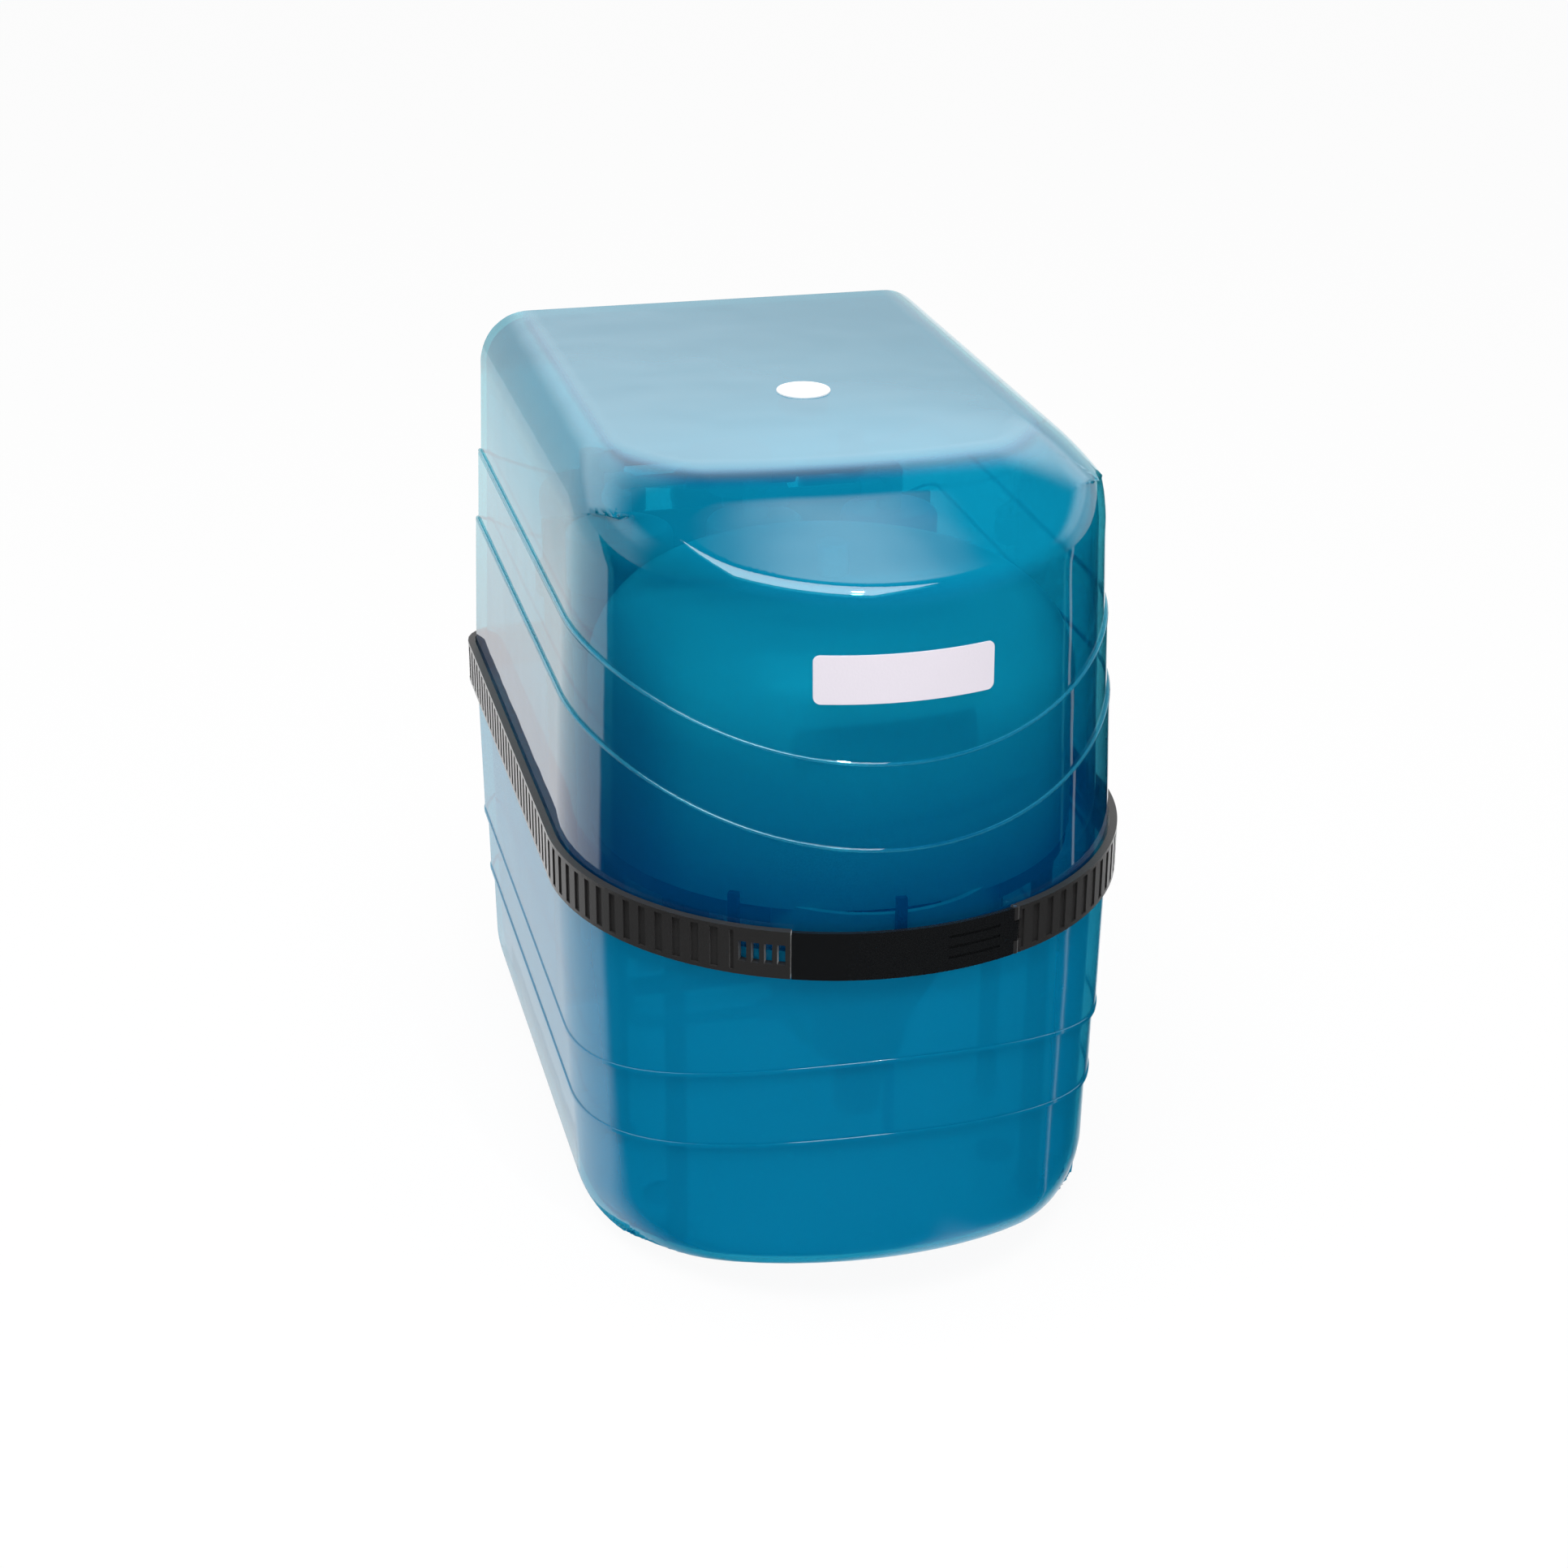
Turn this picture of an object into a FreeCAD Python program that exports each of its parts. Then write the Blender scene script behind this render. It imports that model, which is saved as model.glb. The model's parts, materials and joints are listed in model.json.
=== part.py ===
import FreeCAD, Part
import math
import os
import re

import Sketcher

# A closed-case reverse osmosis unit: two translucent shells held by a black strap,
# a round pressure tank behind the curved front and six filter cylinders at the back.
# Millimetres, +X right, +Y to the rear, +Z up, origin on the floor under the middle.

Vector = FreeCAD.Vector
Rotation = FreeCAD.Rotation
doc = FreeCAD.newDocument("reverse_osmosis_unit")
sheet = doc.addObject("Spreadsheet::Sheet", "Sizes")

SIZES = {
    # case
    "case_width": 262, "case_length": 400, "case_top": 375, "seam_height": 185,
    "foot_lift": 1.5, "wall": 3, "tier_step": 1.4, "nose_flat": 0.5, "rear_corner": 18,
    "cover_draft": 2.05, "base_draft": 0.95, "cover_shoulder": 33.7, "base_shoulder": 20.5,
    "rear_round": 8, "face_offset": 0.4,
    "visor_back": 88, "visor_sweep": 385, "visor_slope": 20,
    "chin_back": 46, "chin_sweep": 200, "chin_slope": 29,
    # height of each tier line on the sides, and how far it runs towards the strap in front
    "cover_tier_high": 304, "cover_dip_high": 32.7, "cover_tier_low": 266, "cover_dip_low": 33.5,
    "base_tier_high": 94, "base_rise_high": 35.4, "base_tier_low": 58, "base_rise_low": 32.3,
    "bead_height": 1.6, "bead_rise": 0.5,
    "lip_gap": 0.6, "lip_wall": 1.8, "lip_rise": 6,
    # strap
    "strap_height": 22.6, "strap_gap": 0.4, "strap_stand": 4, "rib_rise": 1.1, "rib_pitch": 9,
    "rib_width": 5.2, "strap_edge": 1.8, "strap_mouth": 50, "buckle_lift": 1.5, "tongue_reach": 24,
    "tongue_gap": 0.3, "knuckle_radius": 1.9, "knuckle_height": 6.3, "hinge_pin_radius": 0.9,
    "hinge_play": 0.08, "buckle_play": 0.4, "window_width": 3.4, "window_height": 9.5,
    "window_pitch": 5.6, "window_count": 4, "window_start": 3.9,
    "line_pitch": 5, "line_width": 1.4, "line_depth": 0.5, "line_start": 18, "line_end": 43,
    # small parts on the case
    "plug_offset": 6, "plug_back": 209, "plug_radius": 12.8, "hole_radius": 11.8, "plug_rise": 1.2,
    "plug_skirt": 9, "plug_wall": 1.5, "plug_edge": 0.8, "plug_play": 0.3,
    "label_width": 79, "label_height": 21.5, "label_middle": 309, "label_thick": 0.6,
    "label_corner": 3,
    "peg_width": 4.7, "peg_thick": 3.1, "peg_below": 17, "peg_above": 21, "peg_turn": 34.7,
    "peg_spacing": 71,
    "foot_radius": 9, "foot_sink": 1.5, "foot_front": 120, "foot_rear": 30, "foot_side": 85,
    # tank
    "tank_radius": 112.5, "tank_wall": 2.5, "tank_low": 200, "tank_top": 312, "tank_round": 46,
    "lid_thick": 4, "sump_forward": 56, "sump_radius": 64.5, "sump_low": 158, "sump_round": 16,
    "funnel_top_radius": 42, "funnel_radius": 22, "funnel_low": 98, "funnel_wall": 3,
    "funnel_foot": 14, "funnel_neck": 10,
    "spigot_height": 10, "spigot_gap": 3.4, "bladder_thick": 1.5, "bladder_top": 262,
    "seal_wire": 1.65, "stand_low": 188, "stand_thick": 8, "stand_width": 17, "leg_radius": 5,
    "air_radius": 5, "air_height": 12, "air_cap_radius": 7.5, "air_cap_height": 15,
    "valve_radius": 11, "valve_low": 66, "valve_bore": 7.3, "ball_radius": 7, "ball_bore": 4,
    "stem_radius": 2.5, "stem_play": 0.06, "lever_length": 34, "lever_width": 9, "lever_thick": 3,
    "valve_port_radius": 7, "valve_port_reach": 22,
    # filters
    "filter_low": 58, "filter_height": 232, "filter_radius": 28, "post_radius": 25,
    "filter_spacing": 70, "rear_row": 45, "row_pitch": 74, "end_round": 5, "cap_line": 14, "cap_step": 0.8,
    "membrane_wall": 3, "membrane_cap": 30, "element_radius": 21.5, "membrane_outlet": 12,
    "plate_thick": 3, "plate_width": 206, "plate_top": 284, "clip_gap": 0.3, "clip_wall": 3,
    "rail_height": 8, "inline_reach": 13,
    "clip_height": 12, "clip_low": 96, "clip_high": 232, "clip_mouth": 36, "clip_arm": 16, "screw_radius": 2,
    "fitting_radius": 6.5, "fitting_rise": 17, "fitting_reach": 16, "socket_depth": 9,
    "leg_step": 0.5,
    "shutoff_radius": 17, "shutoff_height": 15, "shutoff_cap": 6, "shutoff_wall": 4,
    "chamber_height": 2, "diaphragm_thick": 1.6, "screw_head": 1.4,
    # tube and rear ports
    "tube_radius": 3.175, "tube_bore": 2.15, "tube_play": 0.1,
    "port_reach": 14, "port_drop": 16, "port_spacing": 35, "panel_thick": 5, "panel_margin": 16,
    "port_radius": 7.5, "port_play": 0.2, "flange_radius": 10.5, "flange_thick": 3,
    "nut_radius": 11, "nut_thick": 5, "seal_thick": 1.5, "port_inner_reach": 20,
    "collet_radius": 4.7, "collet_bore": 3.3, "collet_length": 12, "collet_head": 6.4,
    "collet_head_thick": 2, "collet_travel": 1.5,
}
for row, (word, size) in enumerate(SIZES.items(), start=1):
    sheet.set(f"A{row}", word)
    sheet.set(f"B{row}", str(size))
    sheet.setAlias(f"B{row}", word)
doc.recompute()

# Places worked out from the sizes; each is an expression on the sheet's words.
HALF = "(case_width/2)"
NOSE_Y = "(strap_stand - (strap_stand + case_length + port_reach)/2)"
REAR_Y = f"({NOSE_Y} + case_length)"
AXIS_Y = f"({NOSE_Y} + case_width/2)"
FLOOR = "(foot_lift + wall)"
ROW_REAR = f"({REAR_Y} - rear_row)"
ROW_FRONT = f"({ROW_REAR} - row_pitch)"
PLATE_Y = f"({ROW_REAR} - row_pitch/2)"
FILTER_TOP = "(filter_low + filter_height)"
TOP_LINE = f"({FILTER_TOP} + fitting_rise - fitting_radius)"
LOW_LINE = "(filter_low - fitting_rise + fitting_radius)"
PORT_LINE = f"({LOW_LINE} - port_drop)"
PORT_END = f"({REAR_Y} + port_reach)"
SUMP_Y = f"({AXIS_Y} - sump_forward)"
STRAP_LOW = "(seam_height - strap_height/2)"
NOSE = f"({HALF} - nose_flat)"
SOCKET = "(tube_radius + tube_play)"


def num(text):
    """Value of an expression on the sheet's words."""
    return float(sheet.evalExpression(str(text)))


def link(text):
    """The same expression, as another object of the document writes it."""
    return re.sub(r"[a-z_]+[a-z_0-9]*",
                  lambda word: f"Sizes.{word.group()}" if word.group() in SIZES else word.group(),
                  str(text))


def bind(obj, **fields):
    for field, text in fields.items():
        obj.setExpression(field.replace("__", "."), link(text))


def place(obj, at, turn=None):
    """Puts an object at three expressions, turned about its own origin."""
    obj.Placement = FreeCAD.Placement(Vector(*[num(text) for text in at]), turn or Rotation())
    bind(obj, Placement__Base__x=at[0], Placement__Base__y=at[1], Placement__Base__z=at[2])
    return obj


TO_REAR = Rotation(Vector(1, 0, 0), -90)
TO_FRONT = Rotation(Vector(1, 0, 0), 90)
TO_RIGHT = Rotation(Vector(0, 1, 0), 90)
TO_LEFT = Rotation(Vector(0, 1, 0), -90)


def cylinder(radius, height, at, turn=None):
    obj = doc.addObject("Part::Cylinder", "round")
    bind(obj, Radius=radius, Height=height)
    return place(obj, at, turn)


def cone(radius_low, radius_high, height, at):
    obj = doc.addObject("Part::Cone", "taper")
    bind(obj, Radius1=radius_low, Radius2=radius_high, Height=height)
    return place(obj, at)


def block(length, width, height, at):
    """A box whose footprint is centred on the place given and which stands up from it."""
    obj = doc.addObject("Part::Box", "block")
    bind(obj, Length=length, Width=width, Height=height)
    return place(obj, (f"{at[0]} - ({length})/2", f"{at[1]} - ({width})/2", at[2]))


def cut(base, tool, label=None):
    obj = doc.addObject("Part::Cut", "cut")
    obj.Base, obj.Tool = base, tool
    return named(obj, label)


def fuse(parts, label=None):
    obj = doc.addObject("Part::MultiFuse", "joined")
    obj.Shapes = parts
    obj.Refine = True
    return named(obj, label)


def common(parts, label=None):
    obj = doc.addObject("Part::MultiCommon", "shared")
    obj.Shapes = parts
    return named(obj, label)


def group(parts, label):
    """Separate solids that one node holds together."""
    obj = doc.addObject("Part::Compound", "set")
    obj.Links = parts
    return named(obj, label)


nodes = {}


def named(obj, label):
    if label:
        obj.Label = label
        nodes[label] = obj
    return obj


def sketch_on(body, role):
    plane = next(item for item in body.Origin.OriginFeatures if item.Role == role)
    sketch = body.newObject("Sketcher::SketchObject", "outline")
    sketch.AttachmentSupport = [(plane, "")]
    sketch.MapMode = "FlatFace"
    return sketch


def draw(sketch, corners):
    """A closed outline with round corners, drawn through corner points set by expressions."""
    spots = [Vector(num(x), num(y), 0) for x, y, r in corners]
    radii = [num(r) for x, y, r in corners]
    count = len(corners)
    starts, ends, arcs = [], [], {}
    for i, spot in enumerate(spots):
        back = (spots[i - 1] - spot).normalize()
        ahead = (spots[(i + 1) % count] - spot).normalize()
        if radii[i] > 0:
            half = back.getAngle(ahead) / 2
            reach = radii[i] / math.tan(half)
            middle = spot + (back + ahead).normalize() * (radii[i] / math.sin(half))
            starts.append(spot + ahead * reach)
            ends.append(spot + back * reach)
            arcs[i] = (middle, back.cross(ahead).z < 0)
        else:
            starts.append(spot)
            ends.append(spot)
    for i in range(count):
        sketch.addGeometry(Part.LineSegment(starts[i], ends[(i + 1) % count]))
    for i, (x, y, r) in enumerate(corners):
        point = sketch.addGeometry(Part.Point(spots[i]), True)
        for kind, value, text in (("DistanceX", spots[i].x, x), ("DistanceY", spots[i].y, y)):
            size = sketch.addConstraint(Sketcher.Constraint(kind, -1, 1, point, 1, value))
            sketch.setExpression(f"Constraints[{size}]", link(text))
        before, after = (i - 1) % count, i
        if i not in arcs:
            sketch.addConstraint(Sketcher.Constraint("Coincident", before, 2, point, 1))
            sketch.addConstraint(Sketcher.Constraint("Coincident", after, 1, point, 1))
            continue
        middle, left_turn = arcs[i]
        first, last = (ends[i], starts[i]) if left_turn else (starts[i], ends[i])
        angles = [math.atan2(end.y - middle.y, end.x - middle.x) for end in (first, last)]
        arc = sketch.addGeometry(Part.ArcOfCircle(Part.Circle(middle, Vector(0, 0, 1), radii[i]), *angles))
        near, far = (1, 2) if left_turn else (2, 1)
        sketch.addConstraint(Sketcher.Constraint("PointOnObject", point, 1, before))
        sketch.addConstraint(Sketcher.Constraint("PointOnObject", point, 1, after))
        sketch.addConstraint(Sketcher.Constraint("Tangent", before, 2, arc, near))
        sketch.addConstraint(Sketcher.Constraint("Tangent", arc, far, after, 1))
        size = sketch.addConstraint(Sketcher.Constraint("Radius", arc, radii[i]))
        sketch.setExpression(f"Constraints[{size}]", link(r))


def turned(profile, at, label=None, turn=None):
    """A body turned on a lathe: corners are (radius, height, corner radius)."""
    body = doc.addObject("PartDesign::Body", "turned")
    sketch = sketch_on(body, "XZ_Plane")
    draw(sketch, profile)
    spin = body.newObject("PartDesign::Revolution", "spin")
    spin.Profile = sketch
    spin.ReferenceAxis = (sketch, ["V_Axis"])
    spin.Angle = 360
    return named(place(body, at, turn), label)


def padded(corners, length, at, label=None, role="XY_Plane", taper=None, flip=False, both=False):
    """A body padded from an outline of (x, y, corner radius) on one of its planes."""
    body = doc.addObject("PartDesign::Body", "padded")
    sketch = sketch_on(body, role)
    draw(sketch, corners)
    pad = body.newObject("PartDesign::Pad", "pad")
    pad.Profile = sketch
    pad.Reversed = flip
    pad.Midplane = both
    bind(pad, Length=length)
    if taper:
        bind(pad, TaperAngle=taper)
    return named(place(body, at), label)


# case shells

def plan(inset):
    """Plan of the case at the seam: straight sides, a round front and small rear corners."""
    side = f"({HALF} - ({inset}))"
    front, rear = f"({NOSE_Y} + ({inset}))", f"({REAR_Y} - ({inset}))"
    nose = f"({NOSE} - ({inset}))"
    corner = f"(rear_corner - ({inset}))"
    return [(f"-{side}", front, nose), (side, front, nose),
            (side, rear, corner), (f"-{side}", rear, corner)]


def shell_blank(inset, above, full=True):
    """Solid inside one shell's skin, the inset measured inwards from the widest tier."""
    draft = "cover_draft" if above else "base_draft"
    sign = "" if above else "-"
    tall = "(case_top - seam_height)" if above else "(seam_height - foot_lift)"
    skin = f"(({inset}) - 2*tier_step)"
    column = padded(plan(inset), f"{tall} + wall", ("0", "0", "seam_height"),
                    taper=f"-{draft}", flip=not above)
    if not full:
        return column
    shoulder = "cover_shoulder" if above else "base_shoulder"
    end = f"(seam_height {'+' if above else '-'} ({tall} - {skin}))"
    low = f"(seam_height {'-' if above else '+'} wall)"
    lean = f"tan({draft})"
    side_low = f"({HALF} - ({inset}) + face_offset + wall*{lean})"
    side_end = f"({HALF} - ({inset}) + face_offset - ({tall} - {skin})*{lean})"
    rear_low = f"({REAR_Y} - ({inset}) + face_offset + wall*{lean})"
    rear_end = f"({REAR_Y} - ({inset}) + face_offset - ({tall} - {skin})*{lean})"
    loaf = padded([(f"-{side_low}", low, "0"), (side_low, low, "0"),
                   (side_end, end, f"{shoulder} - ({inset})"),
                   (f"-{side_end}", end, f"{shoulder} - ({inset})")],
                  "case_length*3", ("0", "0", "0"), role="XZ_Plane", both=True)
    side = padded([(f"{NOSE_Y} - wall", low, "0"), (rear_low, low, "0"),
                   (rear_end, end, f"rear_round - ({inset})*0.8"), (f"{NOSE_Y} - wall", end, "0")],
                  "case_width*3", ("0", "0", "0"), role="YZ_Plane", both=True)
    if above:
        slope = "visor_slope"
        rim = f"(visor_sweep - {skin}*(1/sin({slope}) - 1/tan({slope})))"
        base = "(seam_height - wall*2)"
        face = cone(f"{rim} + ({end} - {base})/tan({slope})", f"{rim} - wall*2/tan({slope})",
                    f"{end} - {base} + wall*2", ("0", f"{NOSE_Y} + visor_back + visor_sweep", base))
    else:
        slope = "chin_slope"
        rim = f"(chin_sweep - {skin}*(1/sin({slope}) - 1/tan({slope})))"
        face = cone(f"{rim} - wall*2/tan({slope})", f"{rim} + (seam_height + wall*2 - {end})/tan({slope})",
                    f"seam_height + wall*4 - {end}",
                    ("0", f"{NOSE_Y} + chin_back + chin_sweep", f"{end} - wall*2"))
    return common([column, loaf, side, face])


def tier_round(height, dip, above, more="0"):
    """Cylinder along Y whose surface is one tier line, seen from the front as an arc."""
    radius = f"(({HALF}*{HALF} + {dip}*{dip})/(2*{dip}))"
    middle = f"{height} - {dip} + {radius}" if above else f"{height} + {dip} - {radius}"
    return cylinder(f"{radius} + {more}", "case_length*3", ("0", "-case_length*1.5", middle), TO_REAR)


def tiered(skin, above, near, far):
    """Outside of one shell: three skins, each a step inside the last, parted by the tier lines."""
    near_round, far_round = tier_round(*near, above), tier_round(*far, above)
    return fuse([common([far_round, skin]),
                 cut(common([near_round, shell_blank("tier_step", above, full=False)]), far_round),
                 cut(shell_blank("0", above, full=False), near_round)])


SKIN = "2*tier_step"
CAVITY = f"({SKIN} + wall)"
LIP_OUT = f"({CAVITY} + lip_gap)"
LIP_IN = f"({LIP_OUT} + lip_wall)"

cover_skin = shell_blank(SKIN, True)
cover_outside = tiered(cover_skin, True, ("cover_tier_low", "cover_dip_low"),
                       ("cover_tier_high", "cover_dip_high"))
cover_inside = shell_blank(CAVITY, True)
PLUG_AT = ("plug_offset", f"{NOSE_Y} + plug_back")
plug_hole = cylinder("hole_radius", "wall*3", (*PLUG_AT, "case_top - wall*2"))
named(cut(cut(cover_outside, cover_inside), plug_hole), "upper_cover")

base_outside = tiered(shell_blank(SKIN, False), False, ("base_tier_high", "base_rise_high"),
                      ("base_tier_low", "base_rise_low"))
base_inside = shell_blank(CAVITY, False)


def ring_band(outer, inner, low, height):
    """Upright ring that follows the plan of the case between two insets."""
    return cut(padded(plan(outer), height, ("0", "0", low)),
               padded(plan(inner), f"({height}) + wall*2", ("0", "0", f"{low} - wall")))


lip = fuse([ring_band(LIP_OUT, LIP_IN, "seam_height - lip_rise", "lip_rise*2"),
            ring_band(f"{CAVITY} - wall/2", LIP_IN, "seam_height - lip_rise", "lip_rise")])


def bead(height, rise, inset):
    """Fine raised bead along the lower edge of one tier of the lower case."""
    band = cut(tier_round(height, rise, False, "bead_height"), tier_round(height, rise, False))
    skin = cut(shell_blank(f"{inset} - bead_rise", False, full=False),
               shell_blank(f"{inset} + bead_rise", False, full=False))
    return common([band, skin])


feet = [cylinder("foot_radius", "foot_lift + foot_sink", (x, y, "0"))
        for x in ("foot_side", "-foot_side") for y in (f"{NOSE_Y} + foot_front", f"{REAR_Y} - foot_rear")]
group(feet, "case_feet")

# Upright pegs in the rim guide the cover: two on the round front, two at the rear.
PEG_LOW, PEG_HEIGHT = "(seam_height - peg_below)", "(peg_below + peg_above)"
PEG_OUT = f"({HALF} - {LIP_OUT} - peg_above*tan(cover_draft))"
pegs = [block("peg_width", "peg_thick", PEG_HEIGHT,
              (x, f"{REAR_Y} - {HALF} + {PEG_OUT} - peg_thick/2", PEG_LOW))
        for x in ("-peg_spacing", "peg_spacing")]
for swing in (0, num("peg_turn")):
    peg = padded([("-peg_width/2", f"-{PEG_OUT}", "0"), ("peg_width/2", f"-{PEG_OUT}", "0"),
                  ("peg_width/2", f"peg_thick - {PEG_OUT}", "0"),
                  ("-peg_width/2", f"peg_thick - {PEG_OUT}", "0")], PEG_HEIGHT, ("0", "0", "0"))
    pegs.append(place(peg, ("0", AXIS_Y, PEG_LOW), Rotation(Vector(0, 0, 1), -swing)))
group(pegs, "rim_pegs")

PANEL_OUT = f"({REAR_Y} - {SKIN} - (seam_height - {PORT_LINE} - panel_margin)*tan(base_draft))"
panel = block("port_spacing*4", "panel_thick", f"{LOW_LINE} - {PORT_LINE} + panel_margin*2",
              ("0", f"{PANEL_OUT} - panel_thick/2 + seal_thick", f"{PORT_LINE} - panel_margin"))
PORTS = {"feed": ("-filter_spacing", LOW_LINE), "drain": ("-port_spacing", PORT_LINE),
         "product": ("port_spacing", PORT_LINE)}
PANEL_FACE = f"({PANEL_OUT} + seal_thick)"
port_holes = fuse([cylinder("port_radius + port_play", "wall*8", (x, f"{PANEL_OUT} - wall*4", z), TO_REAR)
                   for x, z in PORTS.values()])
LEG_RING = "(tank_radius - stand_width/2)"
leg_places = [(f"{LEG_RING}*cos({turn})", f"{AXIS_Y} + {LEG_RING}*sin({turn})")
              for turn in (22, 158, 213, 327)]
leg_cups = fuse([cut(cylinder("leg_radius + wall", "wall*2", (x, y, FLOOR)),
                     cylinder("leg_radius", "wall*3", (x, y, FLOOR))) for x, y in leg_places])
rails = [block("plate_width", "wall", "rail_height + wall/2",
               ("0", f"{PLATE_Y} {side} (plate_thick + wall)/2", f"{FLOOR} - wall/2")) for side in "+-"]
base_shell = fuse([cut(base_outside, base_inside), lip, panel, leg_cups, *rails,
                   bead("base_tier_high", "base_rise_high", "0"),
                   bead("base_tier_low", "base_rise_low", "tier_step")])
base_cuts = fuse([port_holes, *feet, *pegs])
named(cut(base_shell, base_cuts), "lower_case")

# The label is a bare plate on the cover's round front.
label_block = padded([("-label_width/2", "label_middle - label_height/2", "label_corner"),
                      ("label_width/2", "label_middle - label_height/2", "label_corner"),
                      ("label_width/2", "label_middle + label_height/2", "label_corner"),
                      ("-label_width/2", "label_middle + label_height/2", "label_corner")],
                     "case_width/2", ("0", NOSE_Y, "0"), role="XZ_Plane", both=True)
label_ring = cut(shell_blank(f"{SKIN} - label_thick", True, full=False), cover_skin)
named(common([label_block, label_ring]), "name_plate")

plug_head = turned([("0", "case_top", "0"), ("plug_radius", "case_top", "0"),
                    ("plug_radius", "case_top + plug_rise", "plug_edge"),
                    ("0", "case_top + plug_rise", "0")], (*PLUG_AT, "0"))
plug_stem = cut(cylinder("hole_radius - plug_play", "plug_skirt", (*PLUG_AT, "case_top - plug_skirt")),
                cylinder("hole_radius - plug_play - plug_wall", "plug_skirt",
                         (*PLUG_AT, "case_top - plug_skirt")))
fuse([plug_head, plug_stem], "top_plug")

# strap and buckle

def strap_point(run, out):
    """Point at a distance along the seam's plan, to the right from the front, and its stand-off."""
    half, corner, nose, flat = num(HALF), num("rear_corner"), num(NOSE), num("nose_flat")
    front, rear = num(NOSE_Y), num(REAR_Y)
    sign = 1 if run >= 0 else -1
    rest = abs(run)
    if rest < flat:
        return Vector(sign * rest, front - out, 0)
    rest -= flat
    if rest < nose * math.pi / 2:
        turn = rest / nose
        return Vector(sign * (flat + (nose + out) * math.sin(turn)),
                      front + nose - (nose + out) * math.cos(turn), 0)
    rest -= nose * math.pi / 2
    straight = rear - corner - front - nose
    if rest < straight:
        return Vector(sign * (half + out), front + nose + rest, 0)
    rest -= straight
    if rest < corner * math.pi / 2:
        turn = rest / corner
        return Vector(sign * (half - corner + (corner + out) * math.cos(turn)),
                      rear - corner + (corner + out) * math.sin(turn), 0)
    rest -= corner * math.pi / 2
    return Vector(sign * (half - corner - rest), rear + out, 0)


def half_girth():
    corner, nose = num("rear_corner"), num(NOSE)
    straight = num(REAR_Y) - corner - num(NOSE_Y) - nose
    return num("nose_flat") + (nose + corner) * math.pi / 2 + straight + num(HALF) - corner


STRIP_STEP = 4.5


def ribbed(start, end, outer):
    """Outer edge of a strip with evenly spaced ribs."""
    count = int((end - start) // num("rib_pitch"))
    pitch, half_rib, rise = (end - start) / count, num("rib_width") / 2, num("rib_rise")
    points = [strap_point(start, outer)]
    for i in range(count):
        middle = start + pitch * (i + 0.5)
        points += [strap_point(middle - half_rib, outer), strap_point(middle - half_rib, outer + rise),
                   strap_point(middle + half_rib, outer + rise), strap_point(middle + half_rib, outer)]
    return points + [strap_point(end, outer)]


def strip(start, end, inner, outer, low, height, ribs=False):
    """Upright strip along the plan between two stand-offs."""
    count = max(2, round((end - start) / STRIP_STEP))
    runs = [start + (end - start) * i / count for i in range(count + 1)]
    outside = ribbed(start, end, outer) if ribs else [strap_point(run, outer) for run in runs]
    points = [strap_point(run, inner) for run in runs] + outside[::-1]
    solid = Part.Face(Part.makePolygon(points + points[:1])).extrude(Vector(0, 0, height))
    solid.translate(Vector(0, 0, low))
    return solid


def solid_node(label, shape):
    """A node whose shape is worked out from the sheet's sizes rather than bound to them."""
    obj = doc.addObject("Part::Feature", label)
    obj.Shape = shape
    return named(obj, label)


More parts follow.
